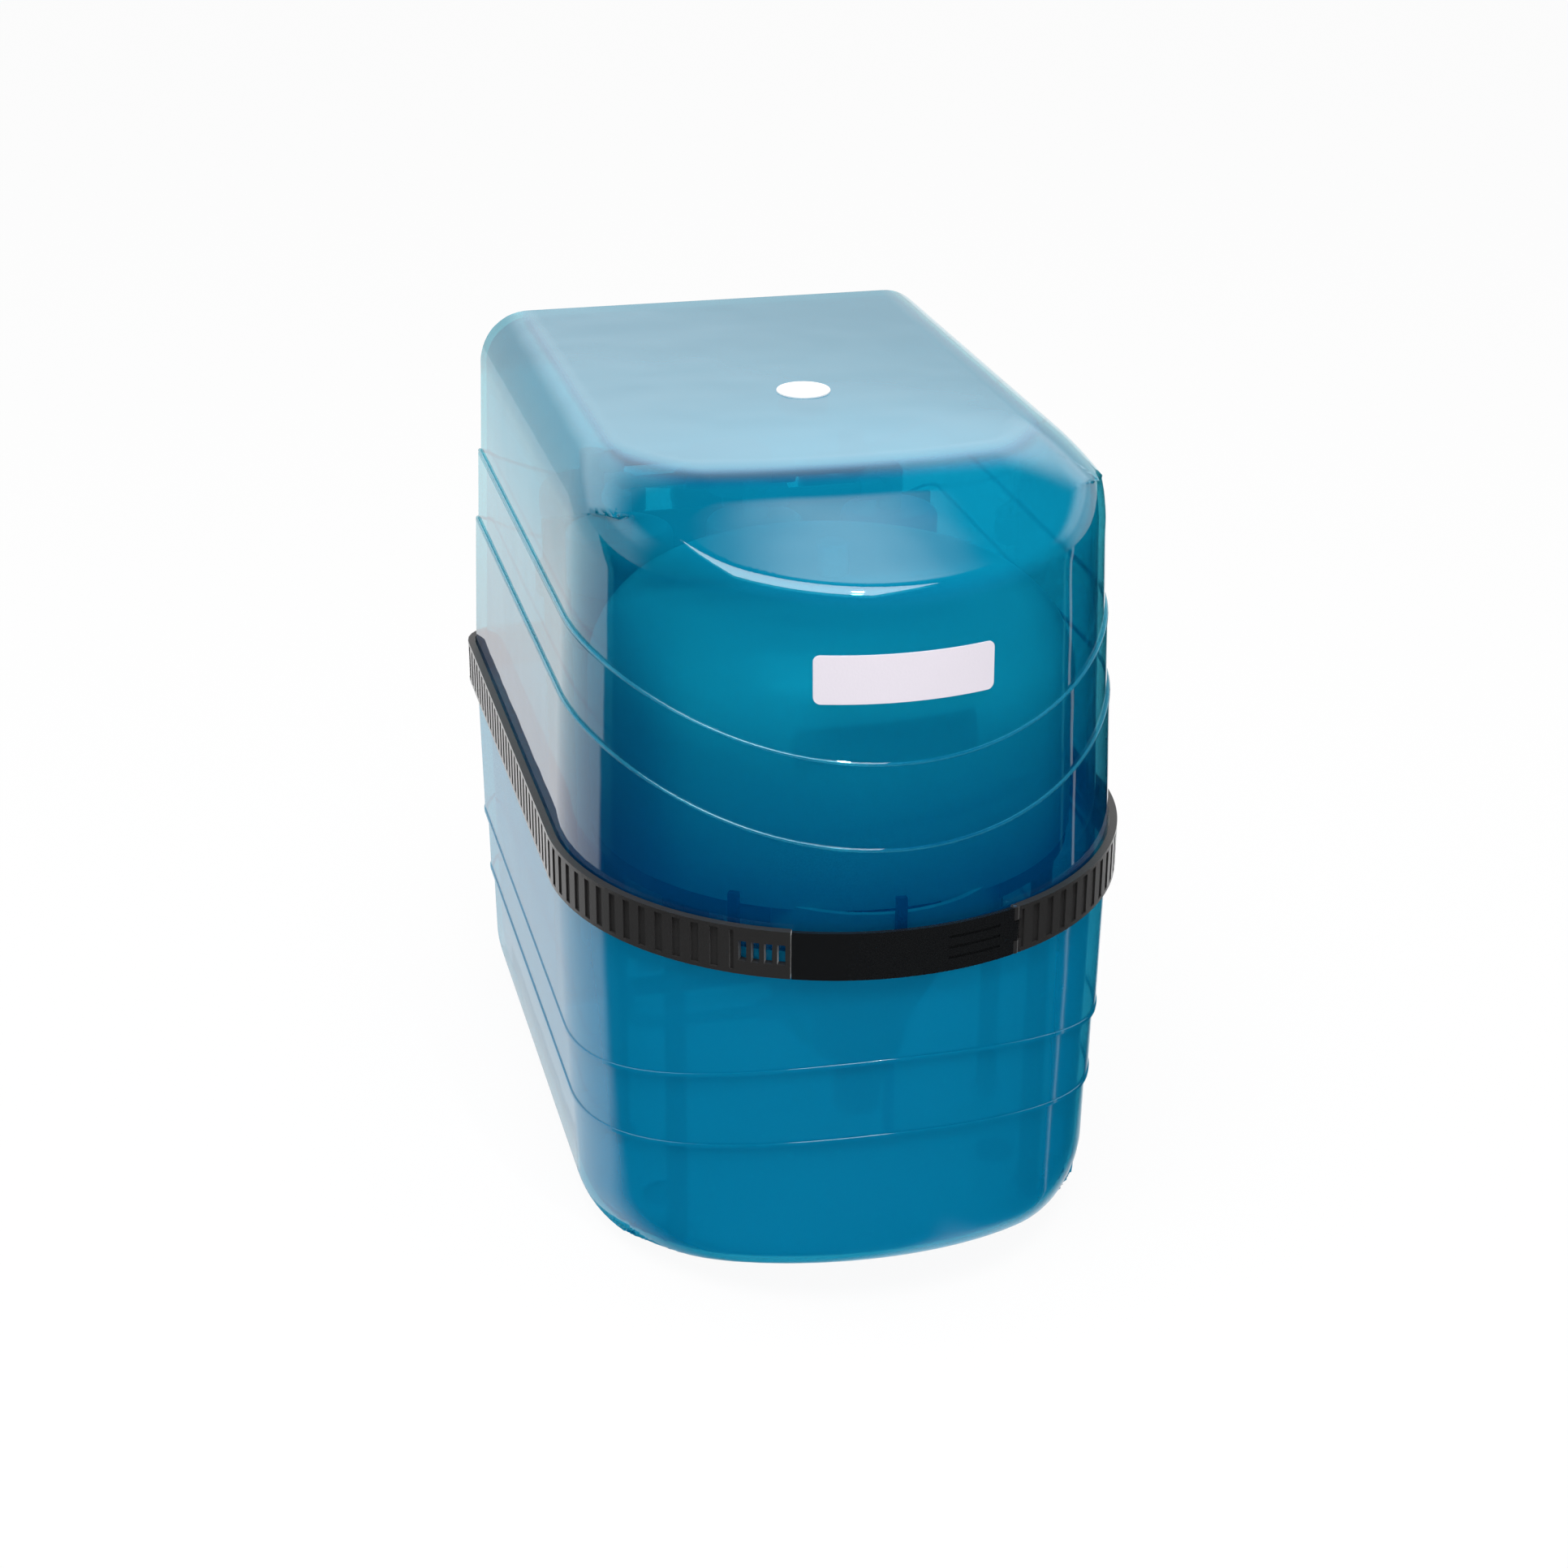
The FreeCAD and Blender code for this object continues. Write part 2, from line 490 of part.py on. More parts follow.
def strap_and_buckle():
    near, far, girth = num("strap_gap"), num("strap_stand"), half_girth()
    low, tall, edge = num(STRAP_LOW), num("strap_height"), num("strap_edge")
    mouth, lift, middle_z = num("strap_mouth"), num("buckle_lift"), num("seam_height")
    valley = far - num("rib_rise")
    knuckle, knuckle_tall = num("knuckle_radius"), num("knuckle_height")
    pitch, width = num("window_pitch"), num("window_width")
    band_end = mouth + num("window_start") * 2 + pitch * (num("window_count") - 1)
    right_start = mouth + knuckle * 2 + near
    hinge_at = strap_point(mouth + knuckle, near + knuckle)

    def post(radius, bottom, height):
        return Part.makeCylinder(radius, height, hinge_at + Vector(0, 0, bottom))

    pieces = []
    for start, end in ((-girth, -band_end), (right_start, girth)):
        pieces.append(strip(start, end, near, valley, low, tall))
        pieces.append(strip(start, end, valley - edge / 2, valley, low + edge, tall - 2 * edge, True))
        pieces += [strip(start, end, valley - edge / 2, far, z, edge) for z in (low, low + tall - edge)]
    middles = [-mouth - num("window_start") - pitch * i for i in range(int(num("window_count")))]
    windows = [strip(middle - width / 2, middle + width / 2, near - edge, far + edge,
                     middle_z - num("window_height") / 2, num("window_height")) for middle in middles]
    pieces.append(strip(-band_end, -mouth, near, far, low, tall).cut(Part.makeCompound(windows)))
    pieces.append(strip(-mouth - edge / 2, -mouth + num("tongue_reach"), near,
                        near + lift - num("tongue_gap"), low + edge, tall - 2 * edge))
    for z in (low, low + tall - knuckle_tall):
        web = strip(mouth + knuckle, right_start + edge / 2, near + num("tongue_gap"),
                    far - num("tongue_gap"), z, knuckle_tall)
        pieces.append(post(knuckle, z, knuckle_tall).fuse(web))
    band = pieces[0].multiFuse(pieces[1:]).removeSplitter()
    solid_node("case_strap", band.cut(post(num("hinge_pin_radius"), low, tall)))
    solid_node("buckle_pin", post(num("hinge_pin_radius"), low, tall))

    play = num("buckle_play")
    plate = strip(-mouth + play, mouth + knuckle, near + lift, far, low, tall)
    room = knuckle_tall + play
    clear = [post(knuckle + play, z, room) for z in (low, low + tall - room)]
    lines = [strip(num("line_start"), num("line_end"), far - num("line_depth"), far + edge,
                   middle_z + num("line_pitch") * i - num("line_width") / 2, num("line_width"))
             for i in (-1, 0, 1)]
    plate = plate.cut(Part.makeCompound(clear)).fuse(post(knuckle, low + room, tall - 2 * room))
    plate = plate.cut(Part.makeCompound(lines))
    bore = post(num("hinge_pin_radius") + num("hinge_play"), low, tall)
    solid_node("strap_buckle", plate.cut(bore).removeSplitter())


strap_and_buckle()

# pressure tank

TANK_AT = ("0", AXIS_Y, "0")
turned([("tank_radius - tank_wall", "tank_low", "0"), ("tank_radius", "tank_low", "0"),
        ("tank_radius", "tank_top", "tank_round"), ("air_radius", "tank_top", "0"),
        ("air_radius", "tank_top - tank_wall", "0"),
        ("tank_radius - tank_wall", "tank_top - tank_wall", "tank_round - tank_wall")],
       TANK_AT, "tank_upper_shell")
SPIGOT = "(tank_radius - tank_wall - spigot_gap)"
lid = turned([("0", "tank_low - lid_thick", "0"), ("tank_radius", "tank_low - lid_thick", "0"),
              ("tank_radius", "tank_low", "0"), (SPIGOT, "tank_low", "0"),
              (SPIGOT, "tank_low + spigot_height", "0"),
              (f"{SPIGOT} - tank_wall", "tank_low + spigot_height", "0"),
              (f"{SPIGOT} - tank_wall", "tank_low", "0"), ("0", "tank_low", "0")], TANK_AT)
SUMP_AT = ("0", SUMP_Y, "0")
sump = turned([("funnel_top_radius", "sump_low", "0"), ("sump_radius", "sump_low", "sump_round"),
               ("sump_radius", "tank_low - tank_wall", "0"),
               ("sump_radius - tank_wall", "tank_low - tank_wall", "0"),
               ("sump_radius - tank_wall", "sump_low + tank_wall", "sump_round - tank_wall"),
               ("funnel_top_radius", "sump_low + tank_wall", "0")], SUMP_AT)
sump_hole = cylinder("funnel_top_radius", "lid_thick*2", ("0", SUMP_Y, "tank_low - lid_thick*1.5"))
cut(fuse([lid, sump]), sump_hole, "tank_lower_shell")
torus = doc.addObject("Part::Torus", "ring")
bind(torus, Radius1=f"{SPIGOT} + spigot_gap/2", Radius2="seal_wire")
named(place(torus, ("0", AXIS_Y, "tank_low + seal_wire")), "tank_seal")
turned([("0", "bladder_top", "0"), ("tank_radius*0.86", "bladder_top", "tank_round*0.8"),
        (f"{SPIGOT} - tank_wall - 0.3", "tank_low", "0"),
        (f"{SPIGOT} - tank_wall - 0.3 - bladder_thick", "tank_low", "0"),
        ("tank_radius*0.86 - bladder_thick*1.1", "bladder_top - bladder_thick", "tank_round*0.8"),
        ("0", "bladder_top - bladder_thick", "0")], TANK_AT, "tank_bladder")
funnel_shell = turned([
    ("funnel_radius - funnel_wall", "funnel_low", "0"), ("funnel_radius", "funnel_low", "4"),
    ("funnel_radius", "funnel_low + funnel_foot", "3"), ("funnel_top_radius", "sump_low - funnel_neck", "6"),
    ("funnel_top_radius", "sump_low + tank_wall + funnel_wall", "0"),
    ("funnel_top_radius - funnel_wall", "sump_low + tank_wall + funnel_wall", "0"),
    ("funnel_top_radius - funnel_wall", "sump_low - funnel_neck + 1", "4"),
    ("funnel_radius - funnel_wall", "funnel_low + funnel_foot + 1", "0")], SUMP_AT)
funnel_floor = cut(cylinder("funnel_radius - funnel_wall/2", "funnel_wall", ("0", SUMP_Y, "funnel_low")),
                   cylinder("tube_radius", "funnel_wall*3", ("0", SUMP_Y, "funnel_low - funnel_wall")))
fuse([funnel_shell, funnel_floor], "tank_funnel")

stand_ring = cut(cylinder("tank_radius - 1", "stand_thick", ("0", AXIS_Y, "stand_low")),
                 cylinder("tank_radius - stand_width", "stand_thick*3",
                          ("0", AXIS_Y, "stand_low - stand_thick")))
legs = [cylinder("leg_radius - tube_play", f"stand_low - {FLOOR} + 1", (x, y, FLOOR)) for x, y in leg_places]
sump_way = cylinder("sump_radius + wall", "stand_thick*3", ("0", SUMP_Y, "stand_low - stand_thick"))
cut(fuse([stand_ring, *legs]), sump_way, "tank_stand")
turned([("0", "tank_top - tank_wall - 4", "0"), ("air_radius + 3", "tank_top - tank_wall - 4", "0"),
        ("air_radius + 3", "tank_top - tank_wall", "0"), ("air_radius", "tank_top - tank_wall", "0"),
        ("air_radius", "tank_top", "0"), ("air_radius - 1", "tank_top", "0"),
        ("air_radius - 1", "tank_top + air_height", "0.6"), ("0", "tank_top + air_height", "0")],
       TANK_AT, "air_valve")
turned([("air_radius - 0.9", "tank_top", "0"), ("air_cap_radius", "tank_top", "0"),
        ("air_cap_radius", "tank_top + air_cap_height", "1.5"), ("0", "tank_top + air_cap_height", "0"),
        ("0", "tank_top + air_height + 0.5", "0"),
        ("air_radius - 0.9", "tank_top + air_height + 0.5", "0")], TANK_AT, "air_valve_cap")

# tank valve under the funnel: a quarter-turn ball on the X axis, outlet to the rear
VALVE_Z = "((valve_low + funnel_low)/2)"
valve_round = cylinder("valve_radius", "funnel_low - valve_low", ("0", SUMP_Y, "valve_low"))
valve_outlet = cylinder("valve_port_radius", "valve_port_reach", ("0", SUMP_Y, VALVE_Z), TO_REAR)
valve_neck = cylinder("stem_radius + 2.5", "valve_radius + 2", ("0", SUMP_Y, VALVE_Z), TO_RIGHT)
ball_seat = doc.addObject("Part::Sphere", "seat")
bind(ball_seat, Radius="valve_bore")
place(ball_seat, ("0", SUMP_Y, VALVE_Z))
valve_ways = fuse([ball_seat, cylinder("tube_radius", "funnel_low - valve_low", ("0", SUMP_Y, VALVE_Z)),
                   cylinder("ball_bore", "valve_port_reach + 1", ("0", SUMP_Y, VALVE_Z), TO_REAR),
                   cylinder(SOCKET, "socket_depth + 1",
                            ("0", f"{SUMP_Y} + valve_port_reach - socket_depth", VALVE_Z), TO_REAR),
                   cylinder("stem_radius + stem_play", "valve_radius + 4", ("0", SUMP_Y, VALVE_Z), TO_RIGHT)])
cut(fuse([valve_round, valve_outlet, valve_neck]), valve_ways, "tank_valve_body")
ball = doc.addObject("Part::Sphere", "ball")
bind(ball, Radius="ball_radius")
place(ball, ("0", SUMP_Y, VALVE_Z))
ball_ways = fuse([cylinder("ball_bore", "ball_radius + 1", ("0", SUMP_Y, VALVE_Z)),
                  cylinder("ball_bore", "ball_radius + 1", ("0", SUMP_Y, VALVE_Z), TO_REAR)])
stem = cylinder("stem_radius", "valve_radius + 3 - ball_radius*0.85",
                ("ball_radius*0.85", SUMP_Y, VALVE_Z), TO_RIGHT)
fuse([cut(ball, ball_ways), stem], "tank_valve_ball")
padded([("-lever_width/2", "lever_width/2", "lever_width*0.48"), ("-lever_width/2", "-lever_length", "3"),
        ("lever_width/2", "-lever_length", "3"), ("lever_width/2", "lever_width/2", "lever_width*0.48")],
       "lever_thick", ("valve_radius + 3", SUMP_Y, VALVE_Z), "tank_valve_lever", role="YZ_Plane")

# filter cylinders, their plate, clips and fittings

def cartridge(label, x, y, radius):
    """A sealed filter cylinder with a welded cap line near each end."""
    rim = f"({radius} - cap_step)"
    low_line, high_line = "(filter_low + cap_line)", f"({FILTER_TOP} - cap_line)"
    return turned([("0", "filter_low", "0"), (radius, "filter_low", "end_round"),
                   (radius, low_line, "0"), (rim, f"{low_line} + cap_step", "0"),
                   (rim, f"{high_line} - cap_step", "0"), (radius, high_line, "0"),
                   (radius, FILTER_TOP, "end_round"), ("0", FILTER_TOP, "0")], (x, y, "0"), label)


LEFT, RIGHT = "-filter_spacing", "filter_spacing"
cartridge("sediment_filter", LEFT, ROW_REAR, "filter_radius")
cartridge("granular_carbon_filter", "0", ROW_REAR, "filter_radius")
cartridge("block_carbon_filter", RIGHT, ROW_REAR, "filter_radius")
cartridge("post_carbon_filter", "0", ROW_FRONT, "post_radius")
cartridge("mineral_filter", RIGHT, ROW_FRONT, "post_radius")
MEMBRANE_AT = (LEFT, ROW_FRONT, "0")
CAP_LOW = f"({FILTER_TOP} - membrane_cap)"
turned([("0", "filter_low", "0"), ("post_radius", "filter_low", "end_round"), ("post_radius", CAP_LOW, "0"),
        ("post_radius - membrane_wall", CAP_LOW, "0"),
        ("post_radius - membrane_wall", "filter_low + membrane_wall*2", "2"),
        ("0", "filter_low + membrane_wall*2", "0")], MEMBRANE_AT, "membrane_housing")
CAP_PLUG = "(post_radius - membrane_wall - tube_play)"
SEAL_WIRE = "(seal_wire*0.7)"
turned([("tube_bore", f"{CAP_LOW} - 15", "0"), (CAP_PLUG, f"{CAP_LOW} - 15", "0"),
        (CAP_PLUG, f"{CAP_LOW} - 12", "0"), (f"{CAP_PLUG} - 2.3", f"{CAP_LOW} - 12", "0"),
        (f"{CAP_PLUG} - 2.3", f"{CAP_LOW} - 8", "0"), (CAP_PLUG, f"{CAP_LOW} - 8", "0"),
        (CAP_PLUG, CAP_LOW, "0"), ("post_radius + 2", CAP_LOW, "1"), ("post_radius + 2", FILTER_TOP, "4"),
        ("tube_bore", FILTER_TOP, "0")], MEMBRANE_AT, "membrane_cap")
cap_ring = doc.addObject("Part::Torus", "ring")
bind(cap_ring, Radius1=f"post_radius - membrane_wall - {SEAL_WIRE} - tube_play/2", Radius2=SEAL_WIRE)
named(place(cap_ring, (LEFT, ROW_FRONT, f"{CAP_LOW} - 10")), "membrane_cap_seal")
turned([("tube_radius", "filter_low + membrane_wall*2", "0"),
        ("element_radius", "filter_low + membrane_wall*2", "3"),
        ("element_radius", f"{CAP_LOW} - 16", "0"), ("tube_radius", f"{CAP_LOW} - 16", "0")],
       MEMBRANE_AT, "membrane_element")

plate_blank = block("plate_width", "plate_thick", f"plate_top - {FLOOR}", ("0", PLATE_Y, FLOOR))
plate_ways = fuse([block("membrane_outlet*3", "plate_thick*3", f"{LOW_LINE} - {FLOOR} + fitting_radius*2",
                         (x, PLATE_Y, f"{FLOOR} + rail_height + 2"))
                   for x in (f"{LEFT} + membrane_outlet", f"{RIGHT} - membrane_outlet/2")])
cut(plate_blank, plate_ways, "filter_plate")


def clip(x, row, radius, low, rear):
    """Snap ring on a short arm from the plate, open on the far side."""
    sign = "" if rear else "-"
    arm = f"(row_pitch/2 - plate_thick/2 - {radius}*0.8)"
    around = fuse([cylinder(f"{radius} + clip_gap + clip_wall", "clip_height", (x, row, low)),
                   block("clip_arm", arm, "clip_height",
                         (x, f"{PLATE_Y} + {sign}1*(plate_thick/2 + {arm}/2)", low))])
    inside = fuse([cylinder(f"{radius} + clip_gap", "clip_height*3", (x, row, f"{low} - clip_height")),
                   block("clip_mouth", f"{radius}*1.2", "clip_height*3",
                         (x, f"{row} + {sign}1*{radius}*1.2", f"{low} - clip_height"))])
    return cut(around, inside)


clips = []
for low_place in ("clip_low", "clip_high"):
    for x in (LEFT, "0", RIGHT):
        clips.append(clip(x, ROW_REAR, "filter_radius", low_place, True))
        clips.append(clip(x, ROW_FRONT, "post_radius", low_place, False))
group(clips, "filter_clips")

AIMS = {"right": ("+", "", TO_RIGHT), "left": ("-", "", TO_LEFT), "rear": ("", "+", TO_REAR),
        "front": ("", "-", TO_FRONT)}


def along(x, y, z, aim, reach):
    """Place at a distance from a point, towards one side of the case."""
    step_x, step_y = AIMS[aim][:2]
    return (f"{x} {step_x} ({reach})" if step_x else x, f"{y} {step_y} ({reach})" if step_y else y, z)


def leg(x, y, z, aim, reach="fitting_reach"):
    """One tube socket: its outside, and the way cut through it."""
    turn = AIMS[aim][2]
    outside = cylinder("fitting_radius - leg_step", reach, (x, y, z), turn)
    socket = cylinder(SOCKET, "socket_depth*2", along(x, y, z, aim, f"{reach} - socket_depth"), turn)
    way = cylinder("tube_bore", reach, (x, y, z), turn)
    return outside, [socket, way]


def elbow(x, y, top, aim):
    line = TOP_LINE if top else LOW_LINE
    outside, ways = leg(x, y, line, aim)
    low = FILTER_TOP if top else "(filter_low - fitting_rise)"
    stem = cylinder("fitting_radius", "fitting_rise", (x, y, low))
    drop = cylinder("tube_bore + leg_step", "fitting_rise - fitting_radius + tube_bore*1.5",
                    (x, y, FILTER_TOP if top else f"{LOW_LINE} - tube_bore*1.5"))
    return cut(fuse([stem, outside]), fuse([*ways, drop]))


PERMEATE_X, REJECT_X = f"({LEFT} - membrane_outlet)", f"({LEFT} + membrane_outlet)"
group([elbow(*spot) for spot in (
    (LEFT, ROW_REAR, False, "rear"), (LEFT, ROW_REAR, True, "right"),
    ("0", ROW_REAR, True, "left"), ("0", ROW_REAR, False, "right"),
    (RIGHT, ROW_REAR, False, "left"), (RIGHT, ROW_REAR, True, "front"),
    (LEFT, ROW_FRONT, True, "rear"), (PERMEATE_X, ROW_FRONT, False, "front"),
    (REJECT_X, ROW_FRONT, False, "rear"), ("0", ROW_FRONT, False, "front"),
    ("0", ROW_FRONT, True, "right"), (RIGHT, ROW_FRONT, True, "left"),
    (RIGHT, ROW_FRONT, False, "rear"))], "tube_elbows")

# automatic shut-off valve on top of the plate
SHUT_LOW = f"({TOP_LINE} - shutoff_height/2)"
SHUT_TOP = f"({TOP_LINE} + shutoff_height/2)"
SHUT_REACH = "(shutoff_radius + socket_depth + 3)"
CHAMBER_AT = ("0", PLATE_Y, f"{SHUT_TOP} - chamber_height")
shut_right, right_ways = leg("0", PLATE_Y, TOP_LINE, "right", SHUT_REACH)
shut_left, left_ways = leg("0", PLATE_Y, TOP_LINE, "left", SHUT_REACH)
shutoff = fuse([cylinder("shutoff_radius", "shutoff_height", ("0", PLATE_Y, SHUT_LOW)),
                block("shutoff_radius", "plate_thick*2", f"{SHUT_LOW} - plate_top + 1",
                      ("0", PLATE_Y, "plate_top")), shut_right, shut_left])
chamber = cylinder("shutoff_radius - shutoff_wall", "chamber_height", CHAMBER_AT)
cut(shutoff, fuse([*right_ways, *left_ways, chamber]), "shutoff_body")
named(cylinder("shutoff_radius - shutoff_wall - tube_play", "diaphragm_thick", CHAMBER_AT),
      "shutoff_diaphragm")
turned([("0", SHUT_TOP, "0"), ("shutoff_radius", SHUT_TOP, "0"),
        ("shutoff_radius", f"{SHUT_TOP} + shutoff_cap", "2"), ("0", f"{SHUT_TOP} + shutoff_cap", "0")],
       ("0", PLATE_Y, "0"), "shutoff_bonnet")
SCREW_SPAN = "(shutoff_radius*0.55)"
group([cylinder("screw_radius", "screw_head",
                (f"{x}{SCREW_SPAN}", f"{PLATE_Y} {y} {SCREW_SPAN}", f"{SHUT_TOP} + shutoff_cap"))
       for x in ("", "-") for y in ("+", "-")], "shutoff_screws")


def inline(label, x, y, z):
    """A barrel in a tube line along Y with a socket at each end."""
    outside, rear_ways = leg(x, y, z, "rear", "inline_reach")
    other, front_ways = leg(x, y, z, "front", "inline_reach")
    barrel = cylinder("fitting_radius + 1", "inline_reach",
                      along(x, y, z, "front", "inline_reach/2"), TO_REAR)
    cut(fuse([outside, other, barrel]), fuse([*rear_ways, *front_ways]), label)


CHECK_Y = f"({ROW_FRONT} - fitting_reach*2.2)"
inline("check_valve", PERMEATE_X, CHECK_Y, LOW_LINE)
inline("flow_restrictor", REJECT_X, PLATE_Y, LOW_LINE)
TEE_Y = f"({ROW_FRONT} - row_pitch)"
tee = [leg("0", TEE_Y, LOW_LINE, aim) for aim in ("front", "rear", "left")]
cut(fuse([outside for outside, _ in tee]), fuse([way for _, ways in tee for way in ways]), "tank_tee")

# tubes: straight runs joined by tangent arcs

def pipe(points, radius):
    """Solid of one radius along a route whose corners are rounded by tangent arcs."""
    edges, here = [], points[0]
    for i in range(1, len(points) - 1):
        back, ahead = points[i - 1] - points[i], points[i + 1] - points[i]
        half = back.getAngle(ahead) / 2
        bend = 0.45 * min(back.Length, ahead.Length) * math.tan(half)
        reach = bend / math.tan(half)
        first = points[i] + back.normalize() * reach
        last = points[i] + ahead.normalize() * reach
        middle = points[i] + (back + ahead).normalize() * (bend / math.sin(half) - bend)
        edges += [Part.LineSegment(here, first).toShape(), Part.Arc(first, middle, last).toShape()]
        here = last
    edges.append(Part.LineSegment(here, points[-1]).toShape())
    ring = Part.Wire(Part.Circle(points[0], points[1] - points[0], radius).toShape())
    return Part.Wire(edges).makePipeShell([ring], True, False)


def tube(label, *spots):
    points = [Vector(*[num(text) for text in spot]) for spot in spots]
    solid_node(label, pipe(points, num("tube_radius")).cut(pipe(points, num("tube_bore"))))


SEAT = "fitting_reach - socket_depth"
PORT_SEAT = f"({PANEL_FACE} - port_inner_reach + socket_depth)"
tube("feed_tube", along(LEFT, ROW_REAR, LOW_LINE, "rear", SEAT), (LEFT, PORT_SEAT, LOW_LINE))
tube("sediment_outlet_tube", along(LEFT, ROW_REAR, TOP_LINE, "right", SEAT),
     along("0", ROW_REAR, TOP_LINE, "left", SEAT))
tube("carbon_outlet_tube", along("0", ROW_REAR, LOW_LINE, "right", SEAT),
     along(RIGHT, ROW_REAR, LOW_LINE, "left", SEAT))
tube("shutoff_inlet_tube", along(RIGHT, ROW_REAR, TOP_LINE, "front", SEAT), (RIGHT, PLATE_Y, TOP_LINE),
     along("0", PLATE_Y, TOP_LINE, "right", f"{SHUT_REACH} - socket_depth"))
tube("shutoff_outlet_tube", along("0", PLATE_Y, TOP_LINE, "left", f"{SHUT_REACH} - socket_depth"),
     (LEFT, PLATE_Y, TOP_LINE), along(LEFT, ROW_FRONT, TOP_LINE, "rear", SEAT))
tube("reject_tube", along(REJECT_X, ROW_FRONT, LOW_LINE, "rear", SEAT),
     along(REJECT_X, PLATE_Y, LOW_LINE, "front", "inline_reach - socket_depth"))
DRAIN_X, PRODUCT_X = "-port_spacing", "port_spacing"
tube("drain_tube", along(REJECT_X, PLATE_Y, LOW_LINE, "rear", "inline_reach - socket_depth"),
     along(REJECT_X, PLATE_Y, LOW_LINE, "rear", "inline_reach + fitting_reach"),
     (DRAIN_X, f"{PORT_SEAT} - fitting_reach*1.5", PORT_LINE), (DRAIN_X, PORT_SEAT, PORT_LINE))
tube("product_tube", along(RIGHT, ROW_FRONT, LOW_LINE, "rear", SEAT),
     along(RIGHT, ROW_FRONT, LOW_LINE, "rear", "row_pitch/2"),
     (PRODUCT_X, f"{PORT_SEAT} - fitting_reach*1.7", PORT_LINE), (PRODUCT_X, PORT_SEAT, PORT_LINE))
tube("permeate_tube", along(PERMEATE_X, ROW_FRONT, LOW_LINE, "front", SEAT),
     along(PERMEATE_X, CHECK_Y, LOW_LINE, "rear", "inline_reach - socket_depth"))
tube("return_tube", along(PERMEATE_X, CHECK_Y, LOW_LINE, "front", "inline_reach - socket_depth"),
     (PERMEATE_X, TEE_Y, LOW_LINE), along("0", TEE_Y, LOW_LINE, "left", SEAT))
tube("tank_tube", ("0", f"{SUMP_Y} + valve_port_reach - socket_depth", VALVE_Z),
     ("0", f"{SUMP_Y} + valve_port_reach + fitting_reach*1.6", VALVE_Z),
     along("0", TEE_Y, LOW_LINE, "front", "fitting_reach*2.6"), along("0", TEE_Y, LOW_LINE, "front", SEAT))
tube("post_inlet_tube", along("0", TEE_Y, LOW_LINE, "rear", SEAT),
     along("0", ROW_FRONT, LOW_LINE, "front", SEAT))
tube("post_outlet_tube", along("0", ROW_FRONT, TOP_LINE, "right", SEAT),
     along(RIGHT, ROW_FRONT, TOP_LINE, "left", SEAT))

# rear ports

END = f"({PORT_END} - {PANEL_FACE})"
HEAD = f"({END} - collet_head_thick)"
MOUTH = f"({HEAD} - collet_travel - port_play)"
TAIL = f"({END} - collet_length)"
BORE_STOP = f"({TAIL} - collet_travel - port_play)"
FLANGE = "(seal_thick + flange_thick)"
INNER_STOP = "(socket_depth - port_inner_reach)"
bodies, nuts, washers = [], [], []
for name, (x, z) in PORTS.items():
    at = (x, PANEL_FACE, z)
    bodies.append(turned([
        ("port_radius", "-port_inner_reach", "0"), ("port_radius", "seal_thick", "0"),
        ("flange_radius", "seal_thick", "0"), ("flange_radius", FLANGE, "1"),
        ("port_radius", FLANGE, "0"), ("port_radius", MOUTH, "1"),
        ("collet_radius + tube_play", MOUTH, "0"), ("collet_radius + tube_play", BORE_STOP, "0"),
        (SOCKET, BORE_STOP, "0"), (SOCKET, "-nut_thick/2", "0"), ("tube_bore", "-nut_thick/2", "0"),
        ("tube_bore", INNER_STOP, "0"), (SOCKET, INNER_STOP, "0"),
        (SOCKET, "-port_inner_reach", "0")], at, turn=TO_REAR))
    hexagon = doc.addObject("Part::Prism", "hexagon")
    hexagon.Polygon = 6
    bind(hexagon, Circumradius="nut_radius", Height="nut_thick")
    place(hexagon, (x, f"{PANEL_FACE} - panel_thick - nut_thick", z), TO_REAR)
    nuts.append(cut(hexagon, cylinder("port_radius + port_play", "nut_thick*3",
                                      (x, f"{PANEL_FACE} - panel_thick - nut_thick*2", z), TO_REAR)))
    washers.append(cut(cylinder("flange_radius - 0.5", "seal_thick", at, TO_REAR),
                       cylinder("port_radius + port_play", "seal_thick*3",
                                (x, f"{PANEL_FACE} - seal_thick", z), TO_REAR)))
    turned([("collet_bore", TAIL, "0"), ("collet_radius", TAIL, "0"), ("collet_radius", HEAD, "0"),
            ("collet_head", HEAD, "0"), ("collet_head", END, "0.6"), ("collet_bore", END, "0")],
           at, f"{name}_collet", TO_REAR)
group(bodies, "port_bodies")
group(nuts, "port_nuts")
group(washers, "port_seals")

doc.recompute()
for obj in doc.Objects:
    if "Invalid" in obj.State or "Error" in obj.State:
        raise RuntimeError(f"{obj.Name} ({obj.TypeId}) failed")
os.makedirs("parts", exist_ok=True)
for label, obj in nodes.items():
    shape = obj.Shape
    if shape.isNull() or not shape.isValid() or not shape.Solids:
        raise RuntimeError(f"{label} has no valid solid")
    shape.exportStep(f"parts/{label}.step")
print(len(nodes), "nodes")
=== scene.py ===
import json
import math

import bmesh
import bpy
from mathutils import Matrix, Vector


